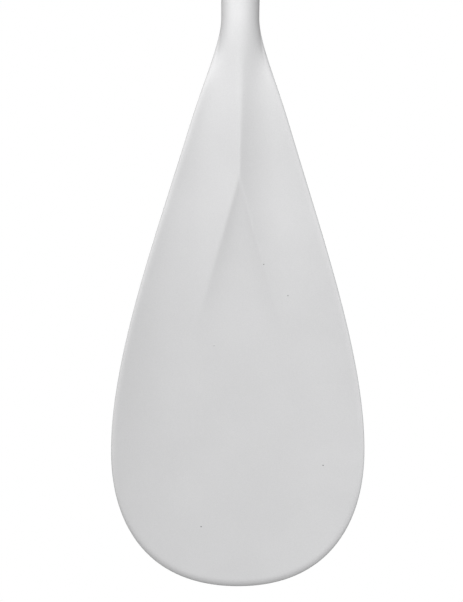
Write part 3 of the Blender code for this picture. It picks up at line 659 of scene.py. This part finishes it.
def make_screw(name, node, at, axis, tip, seat, head, material):
    """A button-head screw with a hex recess."""
    top = seat + head
    profile = [(0, tip), (SCREW_RADIUS - 0.4 * MM, tip + 0.2 * MM), (SCREW_RADIUS, tip + 0.6 * MM),
               (SCREW_RADIUS, seat), (SCREW_HEAD - 0.1 * MM, seat), (SCREW_HEAD, seat + 0.1 * MM)]
    for i in range(1, 10):
        share = 1 - i / 10
        profile.append((SCREW_HEAD * share, top - (head - 0.5 * MM) * share * share))
    profile.append((0, top))
    screw = turned(profile, centre=(0, at, 0), axis=axis, steps=FASTENER_STEPS)
    recess = drill(HEX_RECESS, top - 0.9 * MM, top + MM, centre=(0, at, 0), axis=axis, steps=6)
    screw = combine(screw, "DIFFERENCE", recess)
    finish_piece(name, screw, material, node, "stainless_steel")


def make_collar(material):
    """A split collar: its lower half sits on the lower shaft, and its upper half squeezes the upper one."""
    step = LOWER_END + GAP
    wide, narrow = LOWER_OUTER + GAP, UPPER_OUTER + GAP
    chamfer = 1 * MM
    outside = [(0, CLAMP_START), (COLLAR_LOWER_RADIUS - chamfer, CLAMP_START)]
    for sine, cosine in quarter(5, first=1):
        outside.append((COLLAR_LOWER_RADIUS - chamfer * (1 - sine), CLAMP_START + chamfer * (1 - cosine)))
    for groove in range(COLLAR_GROOVES):
        y = CLAMP_START + 13 * MM + groove * 3 * MM
        for dy, depth in ((-0.7, 0), (-0.4, 0.45), (0.4, 0.45), (0.7, 0)):
            outside.append((COLLAR_LOWER_RADIUS - depth * MM, y + dy * MM))
    for i in range(9):
        share = i / 8
        outside.append((COLLAR_LOWER_RADIUS + (COLLAR_UPPER_RADIUS - COLLAR_LOWER_RADIUS) * smooth(share),
                        step + MM + 3 * MM * share))
    for sine, cosine in quarter(4):
        outside.append((COLLAR_UPPER_RADIUS - chamfer * (1 - cosine), CLAMP_END - chamfer * (1 - sine)))
    outside.append((0, CLAMP_END))
    inside = [(0, CLAMP_START - MM), (wide, CLAMP_START - MM), (wide, step), (narrow, step),
              (narrow, CLAMP_END - SEAL_DEPTH), (SEAL_RADIUS, CLAMP_END - SEAL_DEPTH),
              (SEAL_RADIUS, CLAMP_END + MM), (0, CLAMP_END + MM)]
    ears = extruded(ear_outline(), BOLT_AT - EAR_LENGTH / 2, BOLT_AT + EAR_LENGTH / 2, round_edge=0.8 * MM)
    collar = combine(turned(outside), "UNION", ears)
    slit = block((-SLIT / 2, CLAMP_START - MM, narrow - 4 * MM),
                 (SLIT / 2, CLAMP_END + MM, EAR_TOP + 5 * MM))
    bolt_hole = drill(BOLT_RADIUS + GAP, -20 * MM, 20 * MM,
                      centre=(0, BOLT_AT, BOLT_HEIGHT), axis=(1, 0, 0))
    screw_way = screw_hole(COLLAR_SCREW_AT, (-1, 0, 0), COLLAR_SCREW_SEAT)
    collar = combine(collar, "DIFFERENCE", turned(inside), slit, bolt_hole, screw_way)
    finish_piece("collar_shell", collar, material, "clamp_collar", "black_nylon")


def lever_outline(arm_steps=36):
    """The lever seen along the shaft: a cam head, and an arm that wraps down round the collar."""
    head = Vector((CAM_X, BOLT_HEIGHT))
    cam = head - Vector((CAM_THROW, 0))
    knots = [Vector((x * MM, z * MM, 0)) for x, z in ((25.5, 12), (22.5, -6), (21, -17))]
    arm = [point.to_2d() for point in interpolate_bezier(head.to_3d(), *knots, arm_steps + 2)]
    arm = arm[LEVER_ARM_SKIP:]
    outer, inner = [], []
    count = len(arm) - 2
    for i, (before, point, after) in enumerate(zip(arm, arm[1:], arm[2:] + [arm[-1] * 2 - arm[-2]])):
        share = (i + LEVER_ARM_SKIP) / arm_steps
        heading = (after - before).normalized()
        side = Vector((-heading.y, heading.x)) * LEVER_HALF_THICKNESS * (1.2 - 0.4 * share)
        if i > count - 3:
            side *= (1.0, 0.85, 0.55)[i - count + 2]
        outer.append(point + side)
        inner.append(point - side)
    arc = []
    for i in range(57):
        angle = math.radians(-30 + 4.25 * i)
        arc.append(cam + CAM_RADIUS * Vector((math.cos(angle), math.sin(angle))))
    return [tuple(p) for p in arc + inner + outer[::-1]]


def make_lever(paints):
    lever = extruded(lever_outline(), BOLT_AT - LEVER_WIDTH / 2, BOLT_AT + LEVER_WIDTH / 2,
                     round_edge=0.7 * MM)
    slot = block((CAM_X - 12 * MM, BOLT_AT - LEVER_SLOT / 2, BOLT_HEIGHT - 4.6 * MM),
                 (CAM_X + 12 * MM, BOLT_AT + LEVER_SLOT / 2, BOLT_HEIGHT + 12 * MM))
    hinge = (CAM_X, BOLT_AT, BOLT_HEIGHT)
    eye = drill(PIN_RADIUS + GAP, -20 * MM, 20 * MM, centre=hinge)
    lever = combine(lever, "DIFFERENCE", slot, eye)
    finish_piece("lever_arm", lever, paints["nylon"], "clamp_lever", "black_nylon")
    half = LEVER_WIDTH / 2 - 0.5 * MM
    pin = rounded_tube(PIN_RADIUS, 0, -half, half, centre=hinge, steps=FASTENER_STEPS)
    thread = drill(BOLT_RADIUS + GAP, -10 * MM, 2 * MM, centre=hinge, axis=(1, 0, 0))
    pin = combine(pin, "DIFFERENCE", thread)
    finish_piece("pin_turned", pin, paints["steel"], "lever_pin", "stainless_steel")


def make_bolt(material):
    """The clamp's bolt, with a real helical thread from its end to the nut's near face."""
    end = -(EAR_OUTER + WASHER + 2 * GAP + NUT_LENGTH + 2 * MM)
    threaded = -EAR_OUTER
    stop = CAM_X + 1.2 * MM
    count = FASTENER_STEPS
    stations = [end + (threaded - end) * i / 150 for i in range(151)]
    stations += [threaded + MM, stop - 0.4 * MM, stop]
    loops = []
    for x in stations:
        taper = min((x - end) / (0.8 * MM), 1, max(stop - x, 0) / (0.4 * MM) + 0.8)
        loop = []
        for i in range(count):
            turn = i / count
            depth = THREAD_DEPTH * abs(2 * ((x / THREAD_PITCH + turn) % 1) - 1) if x <= threaded else 0
            radius = min(BOLT_RADIUS - depth, BOLT_RADIUS - (1 - taper) * 0.8 * MM)
            angle = math.tau * turn
            loop.append((x, BOLT_AT + radius * math.cos(angle), BOLT_HEIGHT + radius * math.sin(angle)))
        loops.append(loop)
    finish_piece("bolt_threaded", capped(loops), material, "clamp_bolt", "stainless_steel")


def make_tension_nut(material):
    """A lobed thumb nut with a rounded rim and a dished face."""
    start = -(EAR_OUTER + WASHER + 2 * GAP)
    count = NUT_LOBES * 24
    bore = BOLT_RADIUS + GAP
    long = NUT_LENGTH / MM
    # (radius of a round ring or None on the lobed rim, inset of the rim in mm, depth in mm)
    rings = [(None, 0.6, 0), (None, 0.15, 0.2), (None, 0, 0.7),
             (None, 0, long - 1.5), (None, 0.25, long - 0.7), (None, 0.7, long - 0.2), (None, 1.3, long),
             (5.0 * MM, 0, long), (4.7 * MM, 0, long - 0.8), (bore + 0.3 * MM, 0, long - 0.8),
             (bore, 0, long - 1.1), (bore, 0, 0.3), (bore + 0.3 * MM, 0, 0)]
    loops = []
    for fixed, inset, depth in rings:
        loop = []
        for i in range(count):
            angle = math.tau * i / count
            lobe = NUT_LOBE_DEPTH * (1 - math.cos(NUT_LOBES * angle)) / 2
            radius = fixed if fixed else NUT_RADIUS - inset * MM - lobe
            loop.append((start - depth * MM, BOLT_AT + radius * math.cos(angle),
                         BOLT_HEIGHT + radius * math.sin(angle)))
        loops.append(loop)
    bm, made = loft(loops)
    for i in range(count):
        j = (i + 1) % count
        bm.faces.new((made[-1][i], made[-1][j], made[0][j], made[0][i]))
    finish_piece("thumb_nut", bm, material, "tension_nut", "black_nylon")


def make_clamp(paints):
    make_collar(paints["nylon"])
    make_screw("collar_button_screw", "collar_screw",
               at=COLLAR_SCREW_AT, axis=(-1, 0, 0), tip=13.7 * MM, seat=16.9 * MM, head=1.9 * MM,
               material=paints["steel"])
    make_lever(paints)
    make_bolt(paints["steel"])
    across = {"centre": (0, BOLT_AT, BOLT_HEIGHT), "axis": (1, 0, 0), "steps": FASTENER_STEPS}
    for name, start in (("cam_washer", EAR_OUTER + GAP), ("nut_washer", -EAR_OUTER - GAP - WASHER)):
        ring = rounded_tube(WASHER_RADIUS, BOLT_RADIUS + GAP, start, start + WASHER,
                            chamfer=0.25 * MM, **across)
        finish_piece(f"{name}_ring", ring, paints["steel"], name, "stainless_steel")
    make_tension_nut(paints["nylon"])
    low, high = CLAMP_END - SEAL_DEPTH + GAP, CLAMP_END - GAP
    outer, inner = SEAL_RADIUS - GAP, UPPER_OUTER + GAP
    lip = [(outer, low), (outer, high - 0.9 * MM),
           (outer - 0.5 * MM, high - 0.2 * MM), (inner + 0.6 * MM, high),
           (inner, high - 0.3 * MM), (inner, high - MM), (inner + 0.7 * MM, high - 1.8 * MM),
           (inner + 0.7 * MM, low + 1.2 * MM), (inner, low + 0.6 * MM), (inner, low)]
    finish_piece("seal_ring", turned(lip), paints["rubber"], "wiper_seal", "grey_rubber")


# ---- Shafts ----

def wrapped(bm, radius, y, strip=0.5 * MM):
    """Flat shapes in the XY plane, wrapped as print round the upper shaft's power side, y along it."""
    reach = max(abs(vert.co.x) for vert in bm.verts)
    x = -reach
    while x < reach:
        geom = bm.verts[:] + bm.edges[:] + bm.faces[:]
        bmesh.ops.bisect_plane(bm, geom=geom, plane_co=(x, 0, 0), plane_no=(1, 0, 0))
        x += strip
    for vert in bm.verts:
        angle = vert.co.x / radius
        vert.co = Vector((radius * math.sin(angle), y + vert.co.y, radius * math.cos(angle)))


def numeral(text):
    """A numeral as a flat mesh, its middle at the origin, read with the grip up."""
    curve = bpy.data.curves.new("numeral", "FONT")
    curve.body = text
    curve.size = NUMERAL_SIZE
    curve.align_x = "CENTER"
    curve.align_y = "CENTER"
    obj = bpy.data.objects.new("numeral", curve)
    bpy.context.scene.collection.objects.link(obj)
    bm = modified(obj)
    bpy.data.objects.remove(obj)
    return bm


def make_length_marks(material):
    """Printed length marks: the one at the clamp's mouth tells the paddle's length in centimetres."""
    marks = bmesh.new()
    radius = UPPER_OUTER + 0.04 * MM
    shortest = round(TOTAL_LENGTH * 100)
    for step in range(MARK_COUNT):
        at = CLAMP_END + MARK_CLEAR - step * 10 * MM
        long_mark = step % 5 == 0
        half = (7.0 if long_mark else 3.2) * MM
        bar = bmesh.new()
        bmesh.ops.create_grid(bar, x_segments=1, y_segments=1, size=1)
        bmesh.ops.scale(bar, vec=(half, 0.35 * MM, 1), verts=bar.verts)
        shapes = [(bar, at)]
        if long_mark:
            shapes.append((numeral(str(shortest + step)), at + 4.6 * MM))
        for shape, y in shapes:
            wrapped(shape, radius, y)
            mesh = bpy.data.meshes.new("mark")
            shape.to_mesh(mesh)
            shape.free()
            marks.from_mesh(mesh)
            bpy.data.meshes.remove(mesh)
    obj = add_piece("length_marks", marks, material)
    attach(obj, "upper_shaft_and_grip")


def make_shafts(paints):
    lower = rounded_tube(LOWER_OUTER, LOWER_INNER, LOWER_START, LOWER_END)
    collar_way = screw_hole(COLLAR_SCREW_AT, (-1, 0, 0), COLLAR_SCREW_SEAT)
    lower = combine(lower, "DIFFERENCE", button_hole(), collar_way)
    finish_piece("lower_tube", lower, paints["alloy"], "lower_shaft", "anodised_alloy")
    upper = rounded_tube(UPPER_OUTER, UPPER_INNER, UPPER_START, UPPER_END)
    upper = combine(upper, "DIFFERENCE", screw_hole(GRIP_SCREW_AT, (0, 0, 1), GRIP_SCREW_SEAT))
    finish_piece("upper_tube", upper, paints["alloy"], "upper_shaft", "anodised_alloy")
    make_length_marks(paints["ink"])
    inside = UPPER_INNER - GAP
    shoulder = UPPER_START - GAP
    plug_end = shoulder + 24 * MM
    profile = [(0, PLUG_START), (UPPER_OUTER - 2 * MM, PLUG_START), (UPPER_OUTER, PLUG_START + 3 * MM),
               (UPPER_OUTER, shoulder), (inside, shoulder), (inside, plug_end), (0, plug_end)]
    finish_piece("guide_shoe", turned(profile), paints["nylon"], "guide_plug", "black_nylon")
    for name, start in (("foam_plug_low", plug_end + MM), ("foam_plug_high", GRIP_START - FOAM_LENGTH)):
        foam = rounded_tube(inside, 0, start, start + FOAM_LENGTH)
        finish_piece(f"{name}_float", foam, paints["foam"], name, "white_foam")


# ---- Grip ----

def crossbar_point(x, angle, grow=0.0):
    """A point on the crossbar's skin. The angle runs from the palm side, +Y, towards the power side, +Z."""
    share = min(abs(x) / GRIP_HALF_WIDTH, 1)
    end = math.sqrt(max(1 - share ** 5, 0))
    high = (GRIP_HALF_HEIGHT - 3 * MM * share) * end + grow
    deep = (GRIP_HALF_DEPTH - 1.5 * MM * share) * end + grow
    middle = GRIP_CENTRE - GRIP_DROOP * share * share
    return x, middle + high * math.cos(angle), deep * math.sin(angle)


def crossbar(steps=64, stations=60):
    loops = []
    for i in range(stations + 1):
        x = GRIP_HALF_WIDTH * math.sin(math.pi / 2 * (2 * i / stations - 1))
        x = math.copysign(min(abs(x), GRIP_HALF_WIDTH * 0.9985), x)
        loops.append([crossbar_point(x, math.tau * j / steps) for j in range(steps)])
    return capped(loops)


def palm_shell(low, high, half_width_x, half_angle, steps, stations):
    """A shell on the crossbar's palm side, between two heights over the crossbar's skin at (x, angle)."""
    loops = []
    for i in range(stations + 1):
        x = half_width_x * (2 * i / stations - 1)
        angles = [half_angle * (2 * j / steps - 1) for j in range(steps + 1)]
        outside = [crossbar_point(x, a, high(x, a)) for a in angles]
        inside = [crossbar_point(x, a, low) for a in reversed(angles)]
        loops.append(outside + inside)
    return capped(loops)


def stem():
    """The round stem: a lip at its mouth, then slimmer towards the crossbar."""
    lip = GRIP_START + 10 * MM
    profile = [(0, GRIP_START)]
    for sine, cosine in quarter(5):
        profile.append((STEM_RADIUS - MM * (1 - sine), GRIP_START + MM * (1 - cosine)))
    for i in range(17):
        share = i / 16
        profile.append((STEM_RADIUS + (STEM_WAIST - STEM_RADIUS) * smooth(share), lip + 24 * MM * share))
    profile += [(STEM_WAIST, GRIP_START + 46 * MM), (STEM_WAIST - 2 * MM, GRIP_CENTRE), (0, GRIP_CENTRE)]
    return turned(profile)


def flare(steps=64, stations=24):
    """The web between stem and crossbar: it spreads sideways as it nears the bar."""
    start = UPPER_END + 3 * MM
    loops = []
    for i in range(stations + 1):
        share = i / stations
        y = start + (GRIP_CENTRE - start) * share
        wide = STEM_WAIST - 0.5 * MM + 22 * MM * share ** 2.2
        deep = STEM_WAIST - 0.7 * MM - 2.6 * MM * share
        loops.append([(wide * math.cos(math.tau * j / steps), y, deep * math.sin(math.tau * j / steps))
                      for j in range(steps)])
    return capped(loops)


def pad_relief(x, angle):
    """Height of the pad's outer face: fine ribs across the palm, and a plain border."""
    edge_x = (PAD_HALF_WIDTH - abs(x)) / (3 * MM)
    edge_angle = (PAD_HALF_ANGLE - abs(angle)) / 0.13
    border = smooth(min(edge_x, edge_angle))
    round_over = smooth(min(edge_x * 2.5, edge_angle * 2.5, 1))
    rib = (1 + math.cos(math.tau * angle / RIB_ANGLE)) / 2
    return -0.45 * MM * border * (1 - rib ** 0.7) - 0.5 * MM * (1 - round_over)


def make_grip(paints):
    along = PADDLE.to_3x3() @ Vector((0, 1, 0))
    lean = math.atan2(-along.z, along.y)
    core = combine(crossbar(), "UNION", flare(), stem())
    core = melted(core, 0.9 * MM, 4)
    socket = drill(UPPER_OUTER + GAP, GRIP_START - MM, UPPER_END + GAP, steps=ROUND_STEPS)
    recess = palm_shell(-PAD_THICKNESS - GAP, lambda x, angle: 3 * MM,
                        PAD_HALF_WIDTH + GAP, PAD_HALF_ANGLE + 0.03, steps=40, stations=60)
    floor = block((-0.1, -0.1, -0.05), (0.1, 0.1, 0))
    turn = Matrix.Translation((0, GRIP_CENTRE, -REST_DEPTH)) @ Matrix.Rotation(lean, 4, "X")
    bmesh.ops.transform(floor, matrix=turn, verts=floor.verts)
    core = combine(core, "DIFFERENCE", socket, recess, floor,
                   screw_hole(GRIP_SCREW_AT, (0, 0, 1), GRIP_SCREW_SEAT))
    finish_piece("grip_body", core, paints["nylon"], "grip_core", "black_nylon")
    pad = palm_shell(-PAD_THICKNESS, pad_relief, PAD_HALF_WIDTH, PAD_HALF_ANGLE, steps=160, stations=96)
    finish_piece("palm_pad", pad, paints["rubber"], "grip_pad", "grey_rubber")
    make_screw("grip_button_screw", "grip_screw",
               at=GRIP_SCREW_AT, axis=(0, 0, 1), tip=UPPER_INNER - 1.5 * MM, seat=15.5 * MM, head=1.3 * MM,
               material=paints["steel"])


# ---- Materials ----

def new_material(name, colour, roughness, metallic=0.0):
    material = bpy.data.materials.new(name)
    material.use_nodes = True
    shader = material.node_tree.nodes["Principled BSDF"]
    shader.inputs["Base Color"].default_value = (*colour, 1)
    shader.inputs["Roughness"].default_value = roughness
    shader.inputs["Metallic"].default_value = metallic
    return material, material.node_tree, shader


def noise(tree, per_metre, detail=3, stretch=(1, 1, 1)):
    """A noise with about per_metre blobs to a metre, stretched along the paddle's own axes."""
    where = tree.nodes.new("ShaderNodeTexCoord")
    spread = tree.nodes.new("ShaderNodeMapping")
    spread.vector_type = "TEXTURE"
    spread.inputs["Rotation"].default_value = PADDLE.to_euler()
    spread.inputs["Scale"].default_value = stretch
    texture = tree.nodes.new("ShaderNodeTexNoise")
    texture.inputs["Scale"].default_value = per_metre
    texture.inputs["Detail"].default_value = detail
    tree.links.new(where.outputs["Object"], spread.inputs["Vector"])
    tree.links.new(spread.outputs["Vector"], texture.inputs["Vector"])
    return texture.outputs["Fac"]


def ranged(tree, value, low=0, high=1):
    """A noise's usual span, mapped to low to high."""
    span = tree.nodes.new("ShaderNodeMapRange")
    for name, number in (("From Min", 0.3), ("From Max", 0.7), ("To Min", low), ("To Max", high)):
        span.inputs[name].default_value = number
    tree.links.new(value, span.inputs["Value"])
    return span.outputs["Result"]


def tinted(tree, factor, one, two):
    """A colour between one and two."""
    mix = tree.nodes.new("ShaderNodeMix")
    mix.data_type = "RGBA"
    mix.inputs[6].default_value = (*one, 1)
    mix.inputs[7].default_value = (*two, 1)
    tree.links.new(factor, mix.inputs[0])
    return mix.outputs[2]


def coloured(tree, shader, factor, one, two):
    """The shader's colour, between one and two."""
    tree.links.new(tinted(tree, factor, one, two), shader.inputs["Base Color"])


def polished(tree, shader, factor, low, high):
    """The shader's roughness, between low and high."""
    tree.links.new(ranged(tree, factor, low, high), shader.inputs["Roughness"])


def grained(tree, shader, height, distance):
    """Bumps of the given depth in metres."""
    bump = tree.nodes.new("ShaderNodeBump")
    bump.inputs["Strength"].default_value = 1.0
    bump.inputs["Distance"].default_value = distance
    tree.links.new(height, bump.inputs["Height"])
    tree.links.new(bump.outputs["Normal"], shader.inputs["Normal"])


def specks(tree, per_metre, share, radius):
    """1 on a few small specks and 0 elsewhere: share is how many of the cells hold one."""
    where = tree.nodes.new("ShaderNodeTexCoord")
    cells = tree.nodes.new("ShaderNodeTexVoronoi")
    cells.inputs["Scale"].default_value = per_metre
    chosen = tree.nodes.new("ShaderNodeMath")
    chosen.operation = "LESS_THAN"
    chosen.inputs[1].default_value = share
    near = tree.nodes.new("ShaderNodeMath")
    near.operation = "LESS_THAN"
    near.inputs[1].default_value = radius
    both = tree.nodes.new("ShaderNodeMath")
    both.operation = "MULTIPLY"
    split = tree.nodes.new("ShaderNodeSeparateColor")
    tree.links.new(where.outputs["Object"], cells.inputs["Vector"])
    tree.links.new(cells.outputs["Color"], split.inputs[0])
    tree.links.new(split.outputs[0], chosen.inputs[0])
    tree.links.new(cells.outputs["Distance"], near.inputs[0])
    tree.links.new(chosen.outputs[0], both.inputs[0])
    tree.links.new(near.outputs[0], both.inputs[1])
    return both.outputs[0]


def paint_white_nylon():
    """Satin white moulded nylon: a very fine grain, a faint cloudiness and a few grey specks."""
    material, tree, shader = new_material("white_nylon", WHITE, 0.42)
    cloud = ranged(tree, noise(tree, 22))
    colour = tinted(tree, cloud, [0.985 * c for c in WHITE], [1.015 * c for c in WHITE])
    mottle = ranged(tree, noise(tree, 1100, detail=2))
    shade = tree.nodes.new("ShaderNodeMix")
    shade.data_type = "RGBA"
    shade.blend_type = "MULTIPLY"
    shade.inputs[0].default_value = 1
    tree.links.new(colour, shade.inputs[6])
    tree.links.new(tinted(tree, mottle, (0.97, 0.97, 0.97), (1.03, 1.03, 1.03)), shade.inputs[7])
    spotted = tree.nodes.new("ShaderNodeMix")
    spotted.data_type = "RGBA"
    spotted.inputs[7].default_value = (0.16, 0.16, 0.16, 1)
    tree.links.new(specks(tree, 95, 0.035, 0.055), spotted.inputs[0])
    tree.links.new(shade.outputs[2], spotted.inputs[6])
    tree.links.new(spotted.outputs[2], shader.inputs["Base Color"])
    polished(tree, shader, noise(tree, 60), 0.38, 0.47)
    grained(tree, shader, noise(tree, 1400, detail=2), 0.00003)
    return material


def paint_alloy():
    """Clear-anodised drawn tube: fine lines along its length."""
    material, tree, shader = new_material("anodised_alloy", (0.44, 0.45, 0.47), 0.40, 1.0)
    lines = noise(tree, 900, detail=4, stretch=(1, 80, 1))
    coloured(tree, shader, ranged(tree, lines), (0.41, 0.42, 0.44), (0.47, 0.48, 0.50))
    polished(tree, shader, lines, 0.34, 0.48)
    grained(tree, shader, lines, 0.00002)
    return material


def paint_steel():
    """Stainless steel with fine scratches and a slight cloud."""
    material, tree, shader = new_material("stainless_steel", (0.58, 0.57, 0.55), 0.26, 1.0)
    cloud = ranged(tree, noise(tree, 400))
    coloured(tree, shader, cloud, (0.53, 0.52, 0.50), (0.61, 0.60, 0.58))
    polished(tree, shader, noise(tree, 2500), 0.2, 0.36)
    grained(tree, shader, noise(tree, 2600, detail=4, stretch=(1, 5, 1)), 0.00001)
    return material


def paint_black_nylon():
    """Glass-filled nylon with a spark-eroded grain."""
    material, tree, shader = new_material("black_nylon", (0.022, 0.022, 0.024), 0.5)
    cloud = ranged(tree, noise(tree, 300))
    coloured(tree, shader, cloud, (0.018, 0.018, 0.020), (0.030, 0.030, 0.032))
    polished(tree, shader, noise(tree, 900), 0.42, 0.58)
    grained(tree, shader, noise(tree, 2400), 0.00008)
    return material


def paint_rubber():
    """Matt elastomer with a fine pebble."""
    material, tree, shader = new_material("grey_rubber", (0.075, 0.08, 0.086), 0.8)
    cloud = ranged(tree, noise(tree, 180))
    coloured(tree, shader, cloud, (0.066, 0.070, 0.076), (0.088, 0.094, 0.10))
    polished(tree, shader, noise(tree, 700), 0.7, 0.88)
    grained(tree, shader, noise(tree, 1900, detail=2), 0.0001)
    return material


def paint_foam():
    """Closed-cell foam: round cells about a millimetre and a half across."""
    material, tree, shader = new_material("white_foam", (0.8, 0.8, 0.78), 0.95)
    where = tree.nodes.new("ShaderNodeTexCoord")
    cells = tree.nodes.new("ShaderNodeTexVoronoi")
    cells.inputs["Scale"].default_value = 650
    tree.links.new(where.outputs["Object"], cells.inputs["Vector"])
    coloured(tree, shader, cells.outputs["Distance"], (0.84, 0.84, 0.82), (0.66, 0.66, 0.63))
    grained(tree, shader, cells.outputs["Distance"], 0.0003)
    return material


def paint_ink():
    """Pad-printed black ink, slightly uneven."""
    material, tree, shader = new_material("mark_ink", (0.02, 0.02, 0.022), 0.5)
    cloud = ranged(tree, noise(tree, 1500))
    coloured(tree, shader, cloud, (0.014, 0.014, 0.016), (0.04, 0.04, 0.042))
    polished(tree, shader, noise(tree, 800), 0.4, 0.6)
    return material


# ---- Studio ----

def make_floor():
    bm = bmesh.new()
    bmesh.ops.create_grid(bm, x_segments=1, y_segments=1, size=FLOOR_REACH)
    mesh = bpy.data.meshes.new("floor")
    bm.to_mesh(mesh)
    bm.free()
    floor = bpy.data.objects.new("floor", mesh)
    bpy.context.scene.collection.objects.link(floor)
    floor.location.z = -FLOOR_CLEARANCE
    material, tree, shader = new_material("pale_floor", FLOOR_GREY, 0.9)
    mix = tree.nodes.new("ShaderNodeMixShader")
    light_path = tree.nodes.new("ShaderNodeLightPath")
    white = tree.nodes.new("ShaderNodeEmission")
    white.inputs["Strength"].default_value = 1.0
    output = tree.nodes["Material Output"]
    tree.links.new(light_path.outputs["Is Camera Ray"], mix.inputs[0])
    tree.links.new(shader.outputs[0], mix.inputs[1])
    tree.links.new(white.outputs[0], mix.inputs[2])
    tree.links.new(mix.outputs[0], output.inputs["Surface"])
    mesh.materials.append(material)


def world_light(tree):
    """An even light from all round, and the far soft boxes. The camera itself sees white there."""
    background = tree.nodes["Background"]
    background.inputs["Color"].default_value = (1, 1, 1, 1)
    where = tree.nodes.new("ShaderNodeTexCoord")
    total = None
    for towards, radiance, edges in LOBES:
        facing = tree.nodes.new("ShaderNodeVectorMath")
        facing.operation = "DOT_PRODUCT"
        facing.inputs[1].default_value = Vector(towards).normalized()
        lobe = tree.nodes.new("ShaderNodeMapRange")
        lobe.interpolation_type = "SMOOTHSTEP"
        lobe.inputs["From Min"].default_value, lobe.inputs["From Max"].default_value = edges
        lobe.inputs["To Max"].default_value = radiance
        tree.links.new(where.outputs["Generated"], facing.inputs[0])
        tree.links.new(facing.outputs["Value"], lobe.inputs["Value"])
        both = tree.nodes.new("ShaderNodeMath")
        both.inputs[0].default_value = EVEN_LEVEL
        if total:
            tree.links.new(total, both.inputs[0])
        tree.links.new(lobe.outputs["Result"], both.inputs[1])
        total = both.outputs[0]
    seen = tree.nodes.new("ShaderNodeMix")
    light_path = tree.nodes.new("ShaderNodeLightPath")
    seen.inputs["B"].default_value = 1.0
    tree.links.new(light_path.outputs["Is Camera Ray"], seen.inputs["Factor"])
    tree.links.new(total, seen.inputs["A"])
    tree.links.new(seen.outputs["Result"], background.inputs["Strength"])


def soft_box(name, at, towards, power):
    light = bpy.data.lights.new(name, "AREA")
    light.size = BOX_SIDE
    light.energy = power
    obj = bpy.data.objects.new(name, light)
    bpy.context.scene.collection.objects.link(obj)
    obj.location = at
    obj.rotation_euler = (Vector(towards) - Vector(at)).to_track_quat("-Z", "Y").to_euler()
    obj.visible_camera = False


def make_studio():
    scene = bpy.context.scene
    scene.view_settings.view_transform = "Standard"
    world = bpy.data.worlds.new("studio")
    scene.world = world
    world.use_nodes = True
    world_light(world.node_tree)
    for box in BOXES:
        soft_box(*box)
    make_floor()


def make_camera():
    camera = bpy.data.cameras.new("camera")
    obj = bpy.data.objects.new("camera", camera)
    bpy.context.scene.collection.objects.link(obj)
    bpy.context.scene.camera = obj
    camera.sensor_width = 36
    camera.lens = camera.sensor_width * CAMERA_DISTANCE / PICTURE_HEIGHT
    camera.clip_end = 100
    centre = PADDLE @ Vector((VIEW_CENTRE[0], VIEW_CENTRE[1], 0))
    obj.location = (centre.x, centre.y, CAMERA_DATUM + CAMERA_DISTANCE)
    obj.rotation_euler = (0, 0, CAMERA_ROLL)


def main():
    paints = {
        "white": paint_white_nylon(), "alloy": paint_alloy(), "steel": paint_steel(),
        "nylon": paint_black_nylon(), "rubber": paint_rubber(), "foam": paint_foam(), "ink": paint_ink(),
    }
    make_blade(paints["white"])
    make_blade_joint(paints)
    make_shafts(paints)
    make_clamp(paints)
    make_grip(paints)
    make_studio()
    make_camera()


main()
